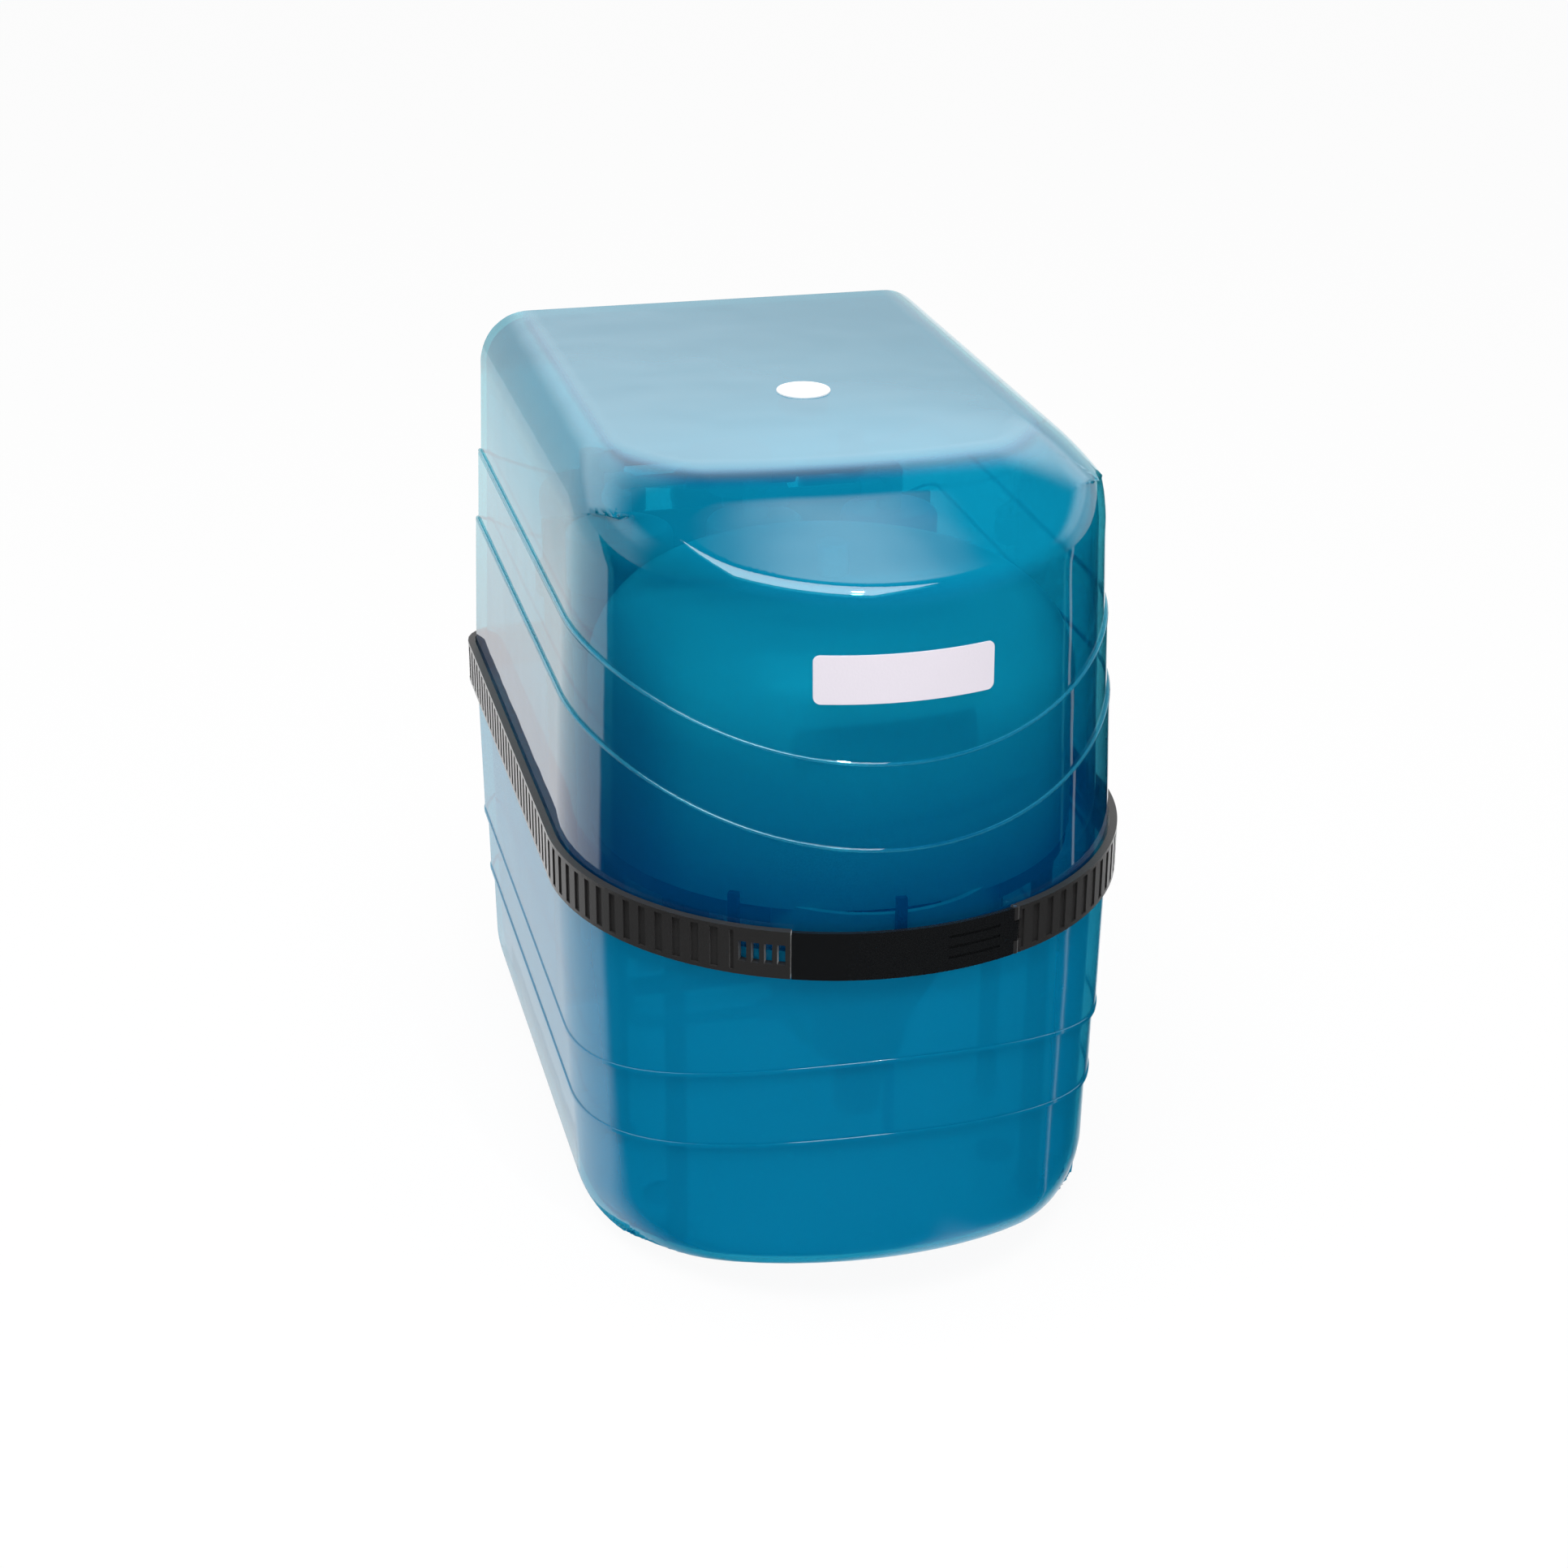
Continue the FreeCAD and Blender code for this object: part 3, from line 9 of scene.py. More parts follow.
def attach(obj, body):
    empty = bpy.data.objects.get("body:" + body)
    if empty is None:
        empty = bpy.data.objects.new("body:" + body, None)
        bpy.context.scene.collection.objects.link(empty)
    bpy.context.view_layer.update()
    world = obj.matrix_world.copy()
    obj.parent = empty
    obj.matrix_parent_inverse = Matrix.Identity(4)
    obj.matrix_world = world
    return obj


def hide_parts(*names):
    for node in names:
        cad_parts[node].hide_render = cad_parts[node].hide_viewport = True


# A closed-case reverse osmosis unit: clear blue-green shells round a white tank and filters.
# Lengths are in metres and turns in radians.
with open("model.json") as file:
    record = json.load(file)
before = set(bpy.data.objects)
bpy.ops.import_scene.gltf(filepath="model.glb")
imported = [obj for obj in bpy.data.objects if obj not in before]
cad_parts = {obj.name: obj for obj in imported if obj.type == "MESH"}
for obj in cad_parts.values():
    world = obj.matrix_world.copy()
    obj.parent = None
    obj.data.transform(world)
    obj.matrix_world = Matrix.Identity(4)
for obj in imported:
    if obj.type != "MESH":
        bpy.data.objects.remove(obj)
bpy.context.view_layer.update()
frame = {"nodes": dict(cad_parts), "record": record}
nodes = frame["nodes"]
scene = bpy.context.scene
scene.view_settings.view_transform = "Standard"

# camera at the photograph's viewing angle

PHOTO_SIZE = 1932
FOCAL_PIXELS = 3500
CAMERA_PITCH = 0.418
CAMERA_YAW = 0.246
CAMERA_ROLL = 0.005
CAMERA_PLACE = Vector((-0.3181, -1.2530, 0.7489))


def add_camera():
    cos_pitch, sin_pitch = math.cos(CAMERA_PITCH), math.sin(CAMERA_PITCH)
    cos_yaw, sin_yaw = math.cos(CAMERA_YAW), math.sin(CAMERA_YAW)
    forward = Vector((sin_yaw * cos_pitch, cos_yaw * cos_pitch, -sin_pitch))
    level = Vector((cos_yaw, -sin_yaw, 0))
    upright = level.cross(forward)
    right = math.cos(CAMERA_ROLL) * level + math.sin(CAMERA_ROLL) * upright
    up = math.cos(CAMERA_ROLL) * upright - math.sin(CAMERA_ROLL) * level
    data = bpy.data.cameras.new("camera")
    data.lens = data.sensor_width * FOCAL_PIXELS / PHOTO_SIZE
    camera = bpy.data.objects.new("camera", data)
    turn = Matrix((right, up, -forward)).transposed().to_4x4()
    camera.matrix_world = Matrix.Translation(CAMERA_PLACE) @ turn
    scene.collection.objects.link(camera)
    scene.camera = camera


add_camera()

# shader maths written as Python


class Wire:
    """One output socket of a node tree, with sums and products that add Math nodes."""

    def __init__(self, tree, socket):
        self.tree = tree
        self.socket = socket

    def add(self, kind, settings=None, output=0, **inputs):
        """A node of any type; settings come first, then values or links for its sockets."""
        node = self.tree.nodes.new(kind)
        for key, value in (settings or {}).items():
            setattr(node, key, value)
        for key, value in inputs.items():
            wanted = key.replace("_", " ")
            match = [item for item in node.inputs if item.name == wanted and item.enabled]
            plug = match[0] if match else node.inputs[int(key[1:])]
            if isinstance(value, Wire):
                self.tree.links.new(value.socket, plug)
            elif isinstance(value, tuple) and len(value) == 3 and plug.type == "RGBA":
                plug.default_value = (*value, 1)
            else:
                plug.default_value = value
        return Wire(self.tree, node.outputs[output])

    def maths(self, operation, other, flip=False):
        first, second = (other, self) if flip else (self, other)
        return self.add("ShaderNodeMath", {"operation": operation}, i0=first, i1=second)

    def __add__(self, other):
        return self.maths("ADD", other)

    def __radd__(self, other):
        return self.maths("ADD", other, True)

    def __sub__(self, other):
        return self.maths("SUBTRACT", other)

    def __rsub__(self, other):
        return self.maths("SUBTRACT", other, True)

    def __mul__(self, other):
        return self.maths("MULTIPLY", other)

    def __rmul__(self, other):
        return self.maths("MULTIPLY", other, True)

    def __truediv__(self, other):
        return self.maths("DIVIDE", other)

    def clamp(self, low=0.0, high=1.0):
        return self.add("ShaderNodeClamp", Value=self, Min=low, Max=high)

    def step(self, low, high):
        """0 below low, 1 above high, smooth between."""
        return self.add("ShaderNodeMapRange", {"interpolation_type": "SMOOTHSTEP"},
                        Value=self, From_Min=low, From_Max=high, To_Min=0.0, To_Max=1.0)

    def band(self, rise, full, fade, gone):
        """0 below rise, 1 from full to fade, 0 above gone, smooth between."""
        return self.step(rise, full) * (1 - self.step(fade, gone))

    def tint(self, first, second):
        """Colour between two others, with this value as the factor."""
        return self.add("ShaderNodeMix", {"data_type": "RGBA"}, 2, i0=self, i6=first, i7=second)

    def axes(self):
        """The x, y and z values of this vector."""
        return [self.add("ShaderNodeSeparateXYZ", None, axis, Vector=self) for axis in range(3)]


def start(name):
    """An empty material, and a wire that adds nodes to it."""
    material = bpy.data.materials.new(name)
    material.use_nodes = True
    tree = material.node_tree
    tree.nodes.clear()
    return material, Wire(tree, None)


def spot(wire):
    """The place on the object itself, so a finish stays with its piece."""
    return wire.add("ShaderNodeTexCoord", None, "Object")


def noise(wire, place, scale, detail=2.0):
    return wire.add("ShaderNodeTexNoise", Vector=place, Scale=scale, Detail=detail)


def bump(wire, height, strength, distance):
    return wire.add("ShaderNodeBump", Strength=strength, Distance=distance, Height=height)


def close(material, wire, shader):
    end = wire.tree.nodes.new("ShaderNodeOutputMaterial")
    wire.tree.links.new(shader.socket, end.inputs["Surface"])
    return material


# solid finishes: how much the slow drift and the fine grain count in colour and gloss

DRIFT_SCALE, DRIFT_DETAIL = 9.0, 3.0
DRIFT_SHARE = 0.7
GLOSS_LEVEL, GLOSS_DRIFT, GLOSS_GRAIN = 0.8, 0.35, 0.05
GLOSS_LEAST = 0.02
GRAIN_STRENGTH = 0.25
COAT_ROUGHNESS = 0.06
SHEEN_ROUGHNESS = 0.25


def moulded(name, pale, deep, rough, grain=0.0002, grain_scale=900, coat=0.0, metal=0.0, sheen=0.0):
    """Solid moulded or machined finish: slow drift of colour, fine grain and uneven gloss."""
    material, wire = start(name)
    place = spot(wire)
    drift = noise(wire, place, DRIFT_SCALE, DRIFT_DETAIL)
    fine = noise(wire, place, grain_scale)
    colour = (drift * DRIFT_SHARE + fine * (1 - DRIFT_SHARE)).tint(deep, pale)
    gloss = rough * GLOSS_LEVEL + drift * (rough * GLOSS_DRIFT) + fine * GLOSS_GRAIN
    shader = wire.add("ShaderNodeBsdfPrincipled", Base_Color=colour, Roughness=gloss.clamp(GLOSS_LEAST),
                      Metallic=metal, Coat_Weight=coat, Coat_Roughness=COAT_ROUGHNESS,
                      Sheen_Weight=sheen, Sheen_Roughness=SHEEN_ROUGHNESS,
                      Normal=bump(wire, fine, GRAIN_STRENGTH, grain))
    return close(material, wire, shader)


# clear finishes: plastic that flowed upwards, a slight ripple and a little dust

FLOW_SCALE, FLOW_STRETCH = 14.0, (1.0, 1.0, 0.35)
FLOW_TINT, FLOW_DARKNESS = 0.3, 0.6
RIPPLE_SCALE, RIPPLE_DETAIL = 26.0, 1.0
RIPPLE_STRENGTH, RIPPLE_HEIGHT = 0.10, 0.002
DUST_SCALE, DUST_RANGE = 160.0, (0.66, 0.8)
BODY_ROUGHNESS = 0.22
GLEAM_LEAST, GLEAM_POWER = 0.05, 4.0

# where the film on the top, the painted shade on the brow over the sloping face and the painted
# shade on the dark flanks beside the round front begin and are full, and where they fade and are
# gone; the low body colour, painted shade that turns darker towards the bottom, ends over DEEP_HEIGHT

TOP_FILM = (0.3735, 0.3748)
TOP_FILM_COLOUR = (0.05, 0.25, 0.31)
DEEP_HEIGHT = (0.20, 0.30)
BROW_HEIGHT = (0.340, 0.350, 0.371, 0.3735)
BROW_SHADE_COLOUR = (0.0, 0.25, 0.32)
FLANK_SIDE = (0.085, 0.122)
FLANK_REAR = (-0.13, -0.06)
FLANK_HEIGHT = (0.19, 0.20, 0.31, 0.345)
FLANK_SHADE_COLOUR = (0.004, 0.03, 0.075)

# how much each of them fills the clear plastic; for the brow, the flanks and the low part this is painted
# shade

HAZE_LEVEL, HAZE_FLOW = 0.85, 0.3
DUST_HAZE, FLANK_SHADE_HAZE, BROW_SHADE_HAZE, DEEP_SHADE_HAZE = 0.03, 0.5, 0.4, 0.35


def clear_shell(name, tint, body, shaded_low_body, haze, polish, film=0.0, painted_shade=0.0, gleam=0.95):
    """Clear coloured shell: light passes tinted, a little stays in the plastic as its body colour."""
    material, wire = start(name)
    place = spot(wire)
    across, along, height = place.axes()
    flow = noise(wire, wire.add("ShaderNodeMapping", Vector=place, Scale=FLOW_STRETCH), FLOW_SCALE)
    dust = noise(wire, place, DUST_SCALE).step(*DUST_RANGE)
    normal = bump(wire, noise(wire, place, RIPPLE_SCALE, RIPPLE_DETAIL), RIPPLE_STRENGTH, RIPPLE_HEIGHT)
    # painted shade: below DEEP_HEIGHT the colour turns to the darker low body colour and the haze grows,
    # darker towards the bottom
    risen = height.step(*DEEP_HEIGHT)
    deep = (1 - risen) * painted_shade
    # painted shade over the brow of the sloping face: its own colour and more haze
    brow_shade = height.band(*BROW_HEIGHT) * painted_shade
    # painted shade: the flanks beside the round front get a dark colour and more haze, standing in for the
    # shaded interior behind them
    flank_shade = across.maths("ABSOLUTE", 0.0).step(*FLANK_SIDE) * (1 - along.step(*FLANK_REAR))
    flank_shade = flank_shade * height.band(*FLANK_HEIGHT)
    top = height.step(*TOP_FILM) * film
    colour = risen.tint(shaded_low_body, body)
    colour = (flow * FLOW_TINT).tint(colour, tuple(channel * FLOW_DARKNESS for channel in body))
    colour = brow_shade.tint(colour, BROW_SHADE_COLOUR)
    colour = (flank_shade * painted_shade).tint(colour, FLANK_SHADE_COLOUR)
    colour = top.tint(colour, TOP_FILM_COLOUR)
    amount = haze * HAZE_LEVEL + flow * (haze * HAZE_FLOW) + dust * DUST_HAZE
    amount = amount + flank_shade * (painted_shade * FLANK_SHADE_HAZE) + brow_shade * BROW_SHADE_HAZE + deep * DEEP_SHADE_HAZE + top
    solid = wire.add("ShaderNodeBsdfPrincipled", Base_Color=colour, Roughness=BODY_ROUGHNESS,
                     Specular_IOR_Level=0.0, Normal=normal)
    through = wire.add("ShaderNodeBsdfTransparent", Color=tint)
    filled = wire.add("ShaderNodeMixShader", i0=amount.clamp(), i1=through, i2=solid)
    shine = wire.add("ShaderNodeBsdfGlossy", Color=(1.0, 1.0, 1.0), Roughness=polish, Normal=normal)
    facing = wire.add("ShaderNodeLayerWeight", None, 1, Blend=0.5, Normal=normal)
    edge = (GLEAM_LEAST + gleam * facing.maths("POWER", GLEAM_POWER)).clamp()
    shader = wire.add("ShaderNodeMixShader", i0=edge, i1=filled, i2=shine)
    return close(material, wire, shader)


WHITE = (0.82, 0.83, 0.84)
# the tier edges' finish is lighter and hazier than the shells': a painted highlight along the round edges
EDGE_HIGHLIGHT_TINT = (0.5, 0.9, 0.95)
EDGE_HIGHLIGHT_BODY = (0.03, 0.34, 0.50)
finishes = {
    # teal_cover's second colour and its shade value are painted shade: darker towards the bottom, on the
    # brow and on the flanks
    "teal_cover": clear_shell("teal_cover", (0.30, 0.86, 0.93), (0.0, 0.15, 0.37), (0.0, 0.07, 0.25),
                              haze=0.18, polish=0.03, film=0.68, painted_shade=0.50, gleam=0.82),
    "teal_base": clear_shell("teal_base", (0.25, 0.84, 0.94), (0.0, 0.30, 0.57), (0.0, 0.30, 0.57),
                             haze=0.52, polish=0.09, gleam=0.6),
    "cover_edge": clear_shell("cover_edge", EDGE_HIGHLIGHT_TINT, EDGE_HIGHLIGHT_BODY, EDGE_HIGHLIGHT_BODY, haze=0.32, polish=0.12),
    "base_edge": clear_shell("base_edge", EDGE_HIGHLIGHT_TINT, EDGE_HIGHLIGHT_BODY, EDGE_HIGHLIGHT_BODY, haze=0.5, polish=0.12),
    "label_plate": moulded("label_plate", (0.78, 0.73, 0.80), (0.73, 0.69, 0.76), 0.24, coat=0.5),
    "white_plug": moulded("white_plug", (0.95, 0.95, 0.95), (0.88, 0.89, 0.90), 0.2, coat=0.3),
    "dark_peg": moulded("dark_peg", (0.012, 0.03, 0.06), (0.006, 0.018, 0.04), 0.35),
    "black_rubber": moulded("black_rubber", (0.022, 0.022, 0.023), (0.012, 0.012, 0.013), 0.75, 0.0004),
    "grey_rubber": moulded("grey_rubber", (0.17, 0.17, 0.18), (0.12, 0.12, 0.13), 0.7, 0.0004),
    "black_strap": moulded("black_strap", (0.030, 0.029, 0.029), (0.014, 0.014, 0.014), 0.42, 0.0003,
                           1400, sheen=0.8),
    "black_buckle": moulded("black_buckle", (0.009, 0.010, 0.011), (0.005, 0.006, 0.007), 0.24, 0.0002,
                            1400, coat=0.1),
    "black_plastic": moulded("black_plastic", (0.02, 0.02, 0.022), (0.011, 0.011, 0.013), 0.4),
    "pale_cap": moulded("pale_cap", WHITE, (0.76, 0.78, 0.79), 0.4),
    "steel_pin": moulded("steel_pin", (0.62, 0.62, 0.62), (0.5, 0.5, 0.51), 0.3, metal=1.0),
    "tank_white": moulded("tank_white", (0.70, 0.71, 0.72), (0.64, 0.66, 0.67), 0.3, coat=0.2),
    "grey_plastic": moulded("grey_plastic", (0.16, 0.18, 0.20), (0.12, 0.14, 0.16), 0.5),
    "brass_valve": moulded("brass_valve", (0.72, 0.5, 0.2), (0.6, 0.4, 0.15), 0.28, metal=1.0),
    "valve_ball": moulded("valve_ball", WHITE, (0.78, 0.79, 0.8), 0.15),
    "blue_lever": moulded("blue_lever", (0.03, 0.16, 0.5), (0.02, 0.12, 0.4), 0.4),
    "white_filter": moulded("white_filter", (0.46, 0.50, 0.53), (0.40, 0.44, 0.47), 0.28, coat=0.2),
    "blue_filter": moulded("blue_filter", (0.08, 0.24, 0.5), (0.05, 0.18, 0.42), 0.28, coat=0.2),
    "membrane_wrap": moulded("membrane_wrap", (0.72, 0.74, 0.66), (0.6, 0.62, 0.54), 0.5),
    "white_fitting": moulded("white_fitting", WHITE, (0.74, 0.75, 0.76), 0.45),
    "blue_fitting": moulded("blue_fitting", (0.06, 0.2, 0.5), (0.04, 0.14, 0.4), 0.45),
    "red_tube": moulded("red_tube", (0.55, 0.03, 0.03), (0.45, 0.02, 0.02), 0.35),
    "white_tube": moulded("white_tube", (0.78, 0.78, 0.77), (0.7, 0.7, 0.7), 0.35),
    "black_tube": moulded("black_tube", (0.025, 0.025, 0.025), (0.015, 0.015, 0.015), 0.35),
    "blue_tube": moulded("blue_tube", (0.03, 0.13, 0.5), (0.02, 0.1, 0.42), 0.35),
    "yellow_tube": moulded("yellow_tube", (0.72, 0.5, 0.04), (0.62, 0.42, 0.03), 0.35),
    "grey_collet": moulded("grey_collet", (0.45, 0.45, 0.47), (0.36, 0.36, 0.38), 0.4),
}


def paint(item, finish):
    item.data.materials.clear()
    item.data.materials.append(finishes[finish])


slots = {item["node"]: item["material_slot"] for item in frame["record"]["subparts"]}
for name, node in nodes.items():
    paint(node, slots[name])

# sizes of the case, as the solids have them; SKIN is how far the top tier lies inside the plan

AXIS_Y = -0.074
NOSE_RADIUS = 0.1305
NOSE_SHIFT = 0.0005
HALF_WIDTH = 0.131
REAR_Y = 0.195
REAR_CORNER = 0.018
SEAM = 0.185
COVER_DRAFT = math.tan(math.radians(2.05))
BASE_DRAFT = math.tan(math.radians(0.95))
TIER_STEP = 0.0014
SKIN = 2 * TIER_STEP
CASE_TOP = 0.375
CASE_LOW = 0.0015
SHOULDER = 0.0309
LOW_SHOULDER = 0.0177
REAR_ROUND = 0.00576
SIDE_OFFSET = 0.0004
WALL = 0.003

# the sloping faces are cones: middle along y, radius at the case's end, slope

VISOR = (0.268, 0.385, math.radians(20))
CHIN = (0.041, 0.200, math.radians(29))

# shells with their sharp creases rounded, as moulded plastic has them: the reach of the rounding
# grows from the front to the corners, and only skin within a share of the wall is bent

ROUNDING_FRONT, ROUNDING_CORNER = 0.007, 0.026
CORNER_START, CORNER_END = 0.065, 0.122
INNER_SHARE, OUTER_SHARE = 1.4, 0.5
EDGE_LENGTHS = (0.032, 0.016, 0.008, 0.0045, 0.0028)
EDGE_PROBES = 4
WELD = 0.00001
SMOOTH_ANGLE = math.radians(28)
NUDGES = [Vector(step) * 0.0001 for step in ((1, 0, 0), (0, 1, 0), (0, 0, 1))]


def deselect():
    bpy.ops.object.select_all(action="DESELECT")


def corner_gap(first, second, radius):
    """Distance outside a rounded corner, both lengths measured from the middle of its arc."""
    return math.hypot(max(first, 0), max(second, 0)) - radius + min(max(first, second), 0)


def block_gap(point, above):
    """How far a point lies outside the case's plan and its shoulders."""
    x, y, z = abs(point.x), point.y, point.z
    lean = (COVER_DRAFT if above else BASE_DRAFT) * abs(z - SEAM)
    front = AXIS_Y - NOSE_SHIFT
    if y < front:
        plan = math.hypot(max(x - NOSE_SHIFT, 0), y - front) - (NOSE_RADIUS - SKIN - lean)
    else:
        plan = corner_gap(x - (HALF_WIDTH - REAR_CORNER), y - (REAR_Y - REAR_CORNER),
                          REAR_CORNER - SKIN - lean)
    beyond = z - CASE_TOP if above else CASE_LOW - z
    inward = SIDE_OFFSET - SKIN - lean
    radius = SHOULDER if above else LOW_SHOULDER
    shoulder = corner_gap(x - (HALF_WIDTH + inward - radius), beyond + radius, radius)
    rear = corner_gap(y - (REAR_Y + inward - REAR_ROUND), beyond + REAR_ROUND, REAR_ROUND)
    return max(plan, shoulder, rear)


def slope_gap(point, above):
    """How far a point lies outside the sloping front face: a wide cone, above or below."""
    middle, rim, slope = VISOR if above else CHIN
    drop = CASE_TOP - point.z if above else point.z - CASE_LOW
    return (math.hypot(point.x, point.y - middle) - rim - drop / math.tan(slope)) * math.sin(slope)


def soft_gap(point, above):
    """The larger of both gaps, eased where they meet; the second value is the easing alone."""
    first, second = block_gap(point, above), slope_gap(point, above)
    turn = min(max((abs(point.x) - CORNER_START) / (CORNER_END - CORNER_START), 0), 1)
    reach = ROUNDING_FRONT + (ROUNDING_CORNER - ROUNDING_FRONT) * turn * turn * (3 - 2 * turn)
    easing = max(reach - abs(first - second), 0) ** 2 / (4 * reach)
    return max(first, second) + easing, easing


def near_crease(point, above):
    gap, easing = soft_gap(point, above)
    return easing > 0 and -INNER_SHARE * WALL < gap - easing < OUTER_SHARE * WALL


def climb(point, above):
    """Steepest way outwards from the eased skin."""
    gap = soft_gap(point, above)[0]
    return Vector([(soft_gap(point + step, above)[0] - gap) / step.length for step in NUDGES])


def set_normals(data, above):
    """Skin faces get the eased skin's own direction; everything else keeps its smoothed one."""
    ways = [climb(vertex.co, above).normalized() for vertex in data.vertices]
    normals = [Vector(corner.vector) for corner in data.corner_normals]
    for face in data.polygons:
        for corner in face.loop_indices:
            way = ways[data.loops[corner].vertex_index]
            match = face.normal.dot(way)
            if abs(match) > math.cos(SMOOTH_ANGLE):
                normals[corner] = way if match > 0 else -way
    data.normals_split_custom_set(normals)


def touches_crease(first, last, above):
    """Whether any probe along an edge is near the crease."""
    return any(near_crease(first.lerp(last, part / EDGE_PROBES), above)
               for part in range(EDGE_PROBES + 1))


def soften(name, node_name, body, finish, above):
    """A copy of one shell whose skin, outside and inside, bends softly over the crease."""
    deselect()
    bpy.ops.mesh.primitive_plane_add()
    piece = bpy.context.object
    piece.name = name
    mesh = bmesh.new()
    mesh.from_mesh(nodes[node_name].data)
    bmesh.ops.remove_doubles(mesh, verts=mesh.verts, dist=WELD)
    for length in EDGE_LENGTHS:
        long_edges = []
        for edge in mesh.edges:
            first, last = (vertex.co for vertex in edge.verts)
            if (last - first).length > length and touches_crease(first, last, above):
                long_edges.append(edge)
        bmesh.ops.subdivide_edges(mesh, edges=long_edges, cuts=1)
        bmesh.ops.triangulate(mesh, faces=[face for face in mesh.faces if len(face.verts) > 3])
    for vertex in mesh.verts:
        if near_crease(vertex.co, above):
            way = climb(vertex.co, above)
            vertex.co -= way * (soft_gap(vertex.co, above)[1] / way.length_squared)
    mesh.to_mesh(piece.data)
    mesh.free()
    bpy.ops.object.shade_smooth_by_angle(angle=SMOOTH_ANGLE)
    set_normals(piece.data, above)
    paint(piece, finish)
    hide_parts(node_name)
    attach(piece, body)


soften("cover_shell", "upper_cover", "cover", "teal_cover", True)
soften("base_shell", "lower_case", "case", "teal_base", False)

# fine round edges along the tier lines, their lighter finish a painted highlight: EDGE_SHOWS is how far
# they stand out of the skin

PLAN_STEPS = (72, 22, 10, 30)
EDGE_RADIUS = 0.0009
EDGE_SHOWS = 0.00015
EDGE_BEVEL = 3

# name, body, finish, height at the sides, rise of the line in front and inset of its tier
TIER_EDGES = (
    ("cover_edge_low", "cover", "cover", 0.266, 0.0335, 0.0),
    ("cover_edge_high", "cover", "cover", 0.304, 0.0327, TIER_STEP),
    ("base_edge_high", "case", "base", 0.094, -0.0354, 0.0),
    ("base_edge_low", "case", "base", 0.058, -0.0323, TIER_STEP),
)


def plan_points(inset):
    """Points round the case at one inset: round front, left side, rear, right side."""
    nose, corner = NOSE_RADIUS - inset, REAR_CORNER - inset
    half, rear = HALF_WIDTH - inset, REAR_Y - inset
    front_steps, side_steps, corner_steps, rear_steps = PLAN_STEPS
    points = []
    for i in range(front_steps + 1):
        turn = math.pi * i / front_steps
        points.append((nose * math.cos(turn) + math.copysign(NOSE_SHIFT, math.cos(turn)),
                       AXIS_Y - NOSE_SHIFT - nose * math.sin(turn)))
    low, high = AXIS_Y - NOSE_SHIFT, rear - corner
    points += [(-half, low + (high - low) * i / side_steps) for i in range(1, side_steps)]
    for i in range(corner_steps + 1):
        turn = math.pi - math.pi / 2 * i / corner_steps
        points.append((-half + corner + corner * math.cos(turn), rear - corner + corner * math.sin(turn)))
    points += [(-half + corner + 2 * (half - corner) * i / rear_steps, rear) for i in range(1, rear_steps)]
    for i in range(corner_steps + 1):
        turn = math.pi / 2 - math.pi / 2 * i / corner_steps
        points.append((half - corner + corner * math.cos(turn), rear - corner + corner * math.sin(turn)))
    points += [(half, high - (high - low) * i / side_steps) for i in range(1, side_steps)]
    return points


def way_out(x, y):
    """Direction straight out of the plan at a point on it."""
    if y < AXIS_Y:
        return Vector((x, y - AXIS_Y, 0)).normalized()
    beside = math.copysign(max(abs(x) - HALF_WIDTH + REAR_CORNER, 0), x)
    return Vector((beside, max(y - REAR_Y + REAR_CORNER, 0), 0)).normalized()


def tier_edge(name, body, finish, height, swing, inset):
    """A fine round edge that follows one tier line all the way round the case."""
    arc = (HALF_WIDTH ** 2 + swing ** 2) / (2 * abs(swing))
    side = 1 if swing > 0 else -1
    lean = COVER_DRAFT if side > 0 else BASE_DRAFT
    outline = []
    for x, y in plan_points(inset):
        z = height - side * (abs(swing) - arc + math.sqrt(arc ** 2 - x ** 2))
        outline.append((x, y, z))
    deselect()
    bpy.ops.mesh.primitive_circle_add(vertices=len(outline))
    piece = bpy.context.object
    piece.name = name
    for vertex, (x, y, z) in zip(piece.data.vertices, outline):
        shrink = abs(z - SEAM) * lean + (EDGE_RADIUS - EDGE_SHOWS)
        vertex.co = Vector((x, y, z - side * EDGE_RADIUS)) - way_out(x, y) * shrink
    bpy.ops.object.convert(target="CURVE")
    piece.data.bevel_depth = EDGE_RADIUS
    piece.data.bevel_resolution = EDGE_BEVEL
    bpy.ops.object.convert(target="MESH")
    bpy.ops.object.shade_smooth()
    # a painted highlight: the edge finish is lighter than the shell round it
    paint(piece, f"{finish}_edge")
    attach(piece, body)


for row in TIER_EDGES:
    tier_edge(*row)

# floor: white to the camera, and mirrored in the shells it is dark in front

FLOOR_SIZE = 12.0
FLOOR_WHITENESS = 0.94
FLOOR_PALE, FLOOR_DEEP = (0.9, 0.9, 0.9), (0.86, 0.86, 0.87)
FLOOR_DRIFT = 2.0
FLOOR_ROUGHNESS = 0.7

# where the mirrored floor turns dark: a point on each boundary and its slope, left and right
MIRROR_LEFT = (-0.1215, -0.1234, 0.623)
MIRROR_RIGHT = (0.1215, -0.1234, 0.576)
MIRROR_SOFT = 0.018

# a narrow bright wedge at the right: its point, its two bearings, its softness and brightness
STREAK = (0.0925, -0.1665, 0.20, 0.235)
STREAK_SOFT = 0.006
STREAK_LIGHT = 0.8
LEAST_AHEAD = 0.001


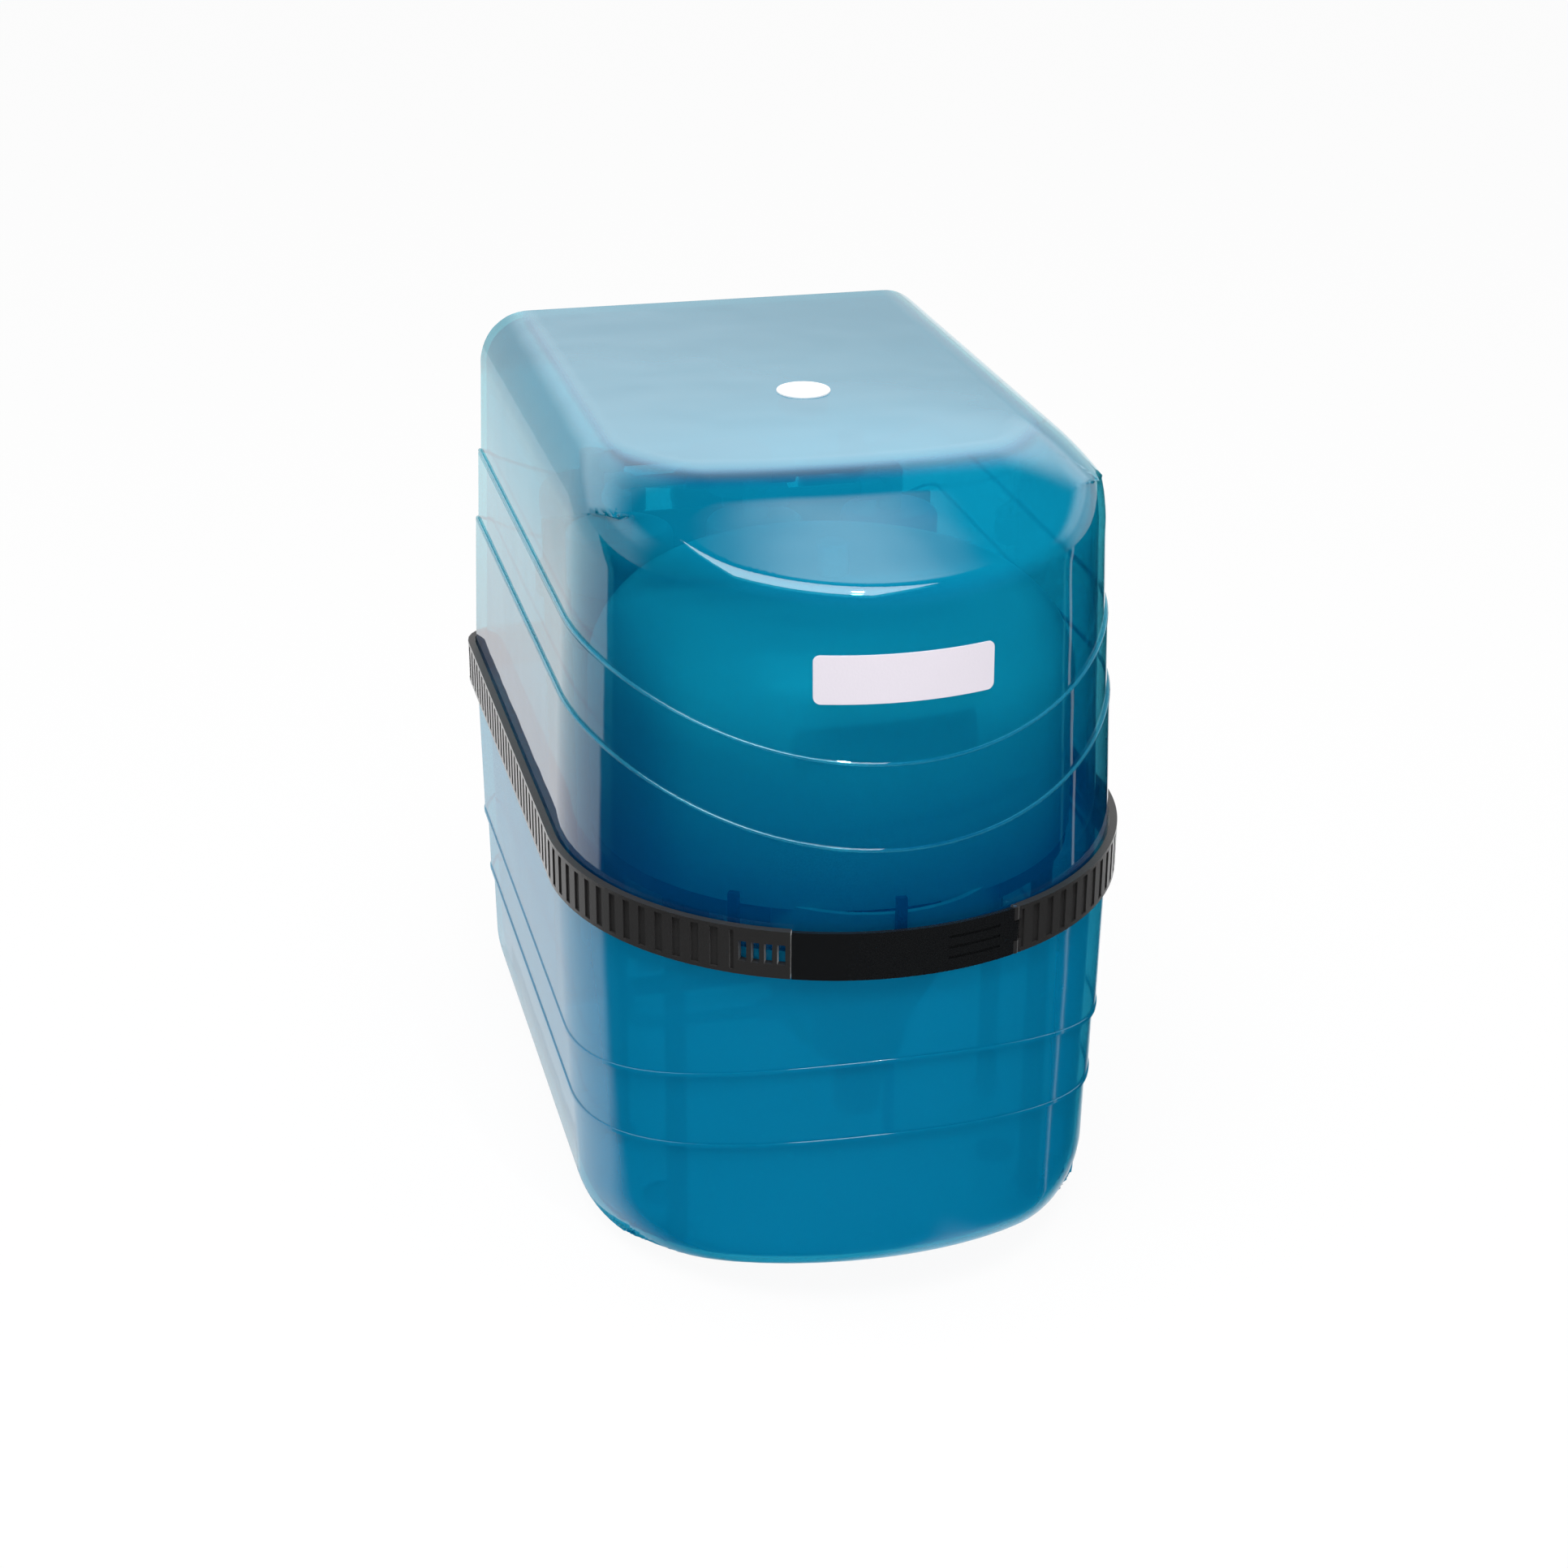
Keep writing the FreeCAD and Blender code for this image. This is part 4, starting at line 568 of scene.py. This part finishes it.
def add_floor():
    deselect()
    bpy.ops.mesh.primitive_plane_add(size=FLOOR_SIZE)
    floor = bpy.context.object
    floor.name = "floor"
    material, wire = start("pale_floor")
    place = spot(wire)
    colour = noise(wire, place, FLOOR_DRIFT).tint(FLOOR_DEEP, FLOOR_PALE)
    matt = wire.add("ShaderNodeBsdfPrincipled", Base_Color=colour, Roughness=FLOOR_ROUGHNESS)
    across, along = place.axes()[:2]
    x, y, slope = MIRROR_LEFT
    left = ((along - y) + slope * (across - x)).step(-MIRROR_SOFT, MIRROR_SOFT)
    x, y, slope = MIRROR_RIGHT
    right = (slope * (along - y) - (across - x)).step(-MIRROR_SOFT, MIRROR_SOFT)
    x, y, low, high = STREAK
    bearing = (along - y) / (across - x).maths("MAXIMUM", LEAST_AHEAD)
    streak = bearing.band(low - STREAK_SOFT, low, high, high + STREAK_SOFT)
    behind = (left * right + streak * STREAK_LIGHT).clamp()
    camera = wire.add("ShaderNodeLightPath", None, "Is Camera Ray")
    glossy = wire.add("ShaderNodeLightPath", None, "Is Glossy Ray")
    glow = wire.add("ShaderNodeEmission", Color=(1.0, 1.0, 1.0), Strength=camera + glossy * behind)
    shader = wire.add("ShaderNodeMixShader", i0=camera * FLOOR_WHITENESS + glossy, i1=matt, i2=glow)
    floor.data.materials.append(close(material, wire, shader))


# surroundings: the ambient light, and what the shells mirror behind the part and in a window

AMBIENT = 0.52
MIRROR_DARK = 0.016
BEHIND_LIGHT = 1.4
BEHIND_DEPTH = (0.05, 0.3)
BEHIND_TOP = (0.45, 0.7)
BEHIND_LOW, BEHIND_RISE = 0.55, (0.22, 0.33)
WINDOW_AIM = (0.23, 0.45, 0.863)
WINDOW_SIZE = (0.03, 0.13)
WINDOW_LIGHT = 2.2


def add_world():
    """White to the camera; in reflections it is bright behind and in the window, dark elsewhere."""
    world = bpy.data.worlds.new("surroundings")
    world.use_nodes = True
    tree = world.node_tree
    tree.nodes.clear()
    wire = Wire(tree, None)
    aim = wire.add("ShaderNodeTexCoord", None, "Generated")
    aim_y, aim_z = aim.axes()[1:]
    camera = wire.add("ShaderNodeLightPath", None, "Is Camera Ray")
    glossy = wire.add("ShaderNodeLightPath", None, "Is Glossy Ray")
    behind = aim_y.step(*BEHIND_DEPTH) * (1 - aim_z.step(*BEHIND_TOP))
    behind = behind * (BEHIND_LOW + (1 - BEHIND_LOW) * aim_z.step(*BEHIND_RISE))
    away = wire.add("ShaderNodeVectorMath", {"operation": "DISTANCE"}, 1, i0=aim, i1=WINDOW_AIM)
    window = 1 - away.step(*WINDOW_SIZE)
    mirror = MIRROR_DARK + behind * BEHIND_LIGHT + window * WINDOW_LIGHT
    level = glossy * mirror + (1 - glossy) * AMBIENT
    level = camera + (1 - camera) * level
    back = wire.add("ShaderNodeBackground", Color=(1.0, 1.0, 1.0), Strength=level)
    end = tree.nodes.new("ShaderNodeOutputWorld")
    tree.links.new(back.socket, end.inputs["Surface"])
    scene.world = world


def add_light(name, kind, place, target, watts):
    """A light aimed at its target; its data comes back for the settings of its kind."""
    data = bpy.data.lights.new(name, kind)
    data.energy = watts
    light = bpy.data.objects.new(name, data)
    light.location = place
    light.rotation_euler = (Vector(target) - light.location).to_track_quat("-Z", "Y").to_euler()
    scene.collection.objects.link(light)
    return data


add_floor()
add_world()

# a wide lamp above, and a narrow soft beam on the tank's dome

TOP_LAMP_SIZE = 1.4
top_lamp = add_light("top", "AREA", (-0.2, -0.5, 2.0), (0, 0, 0.18), 38)
top_lamp.shape = "SQUARE"
top_lamp.size = TOP_LAMP_SIZE

BEAM_WIDTH = 0.17
BEAM_SOURCE = 0.04
beam = add_light("dome", "SPOT", (0.15, -0.85, 2.0), (0.0, -0.125, 0.312), 75)
beam.spot_size = BEAM_WIDTH
beam.spot_blend = 1.0
beam.shadow_soft_size = BEAM_SOURCE
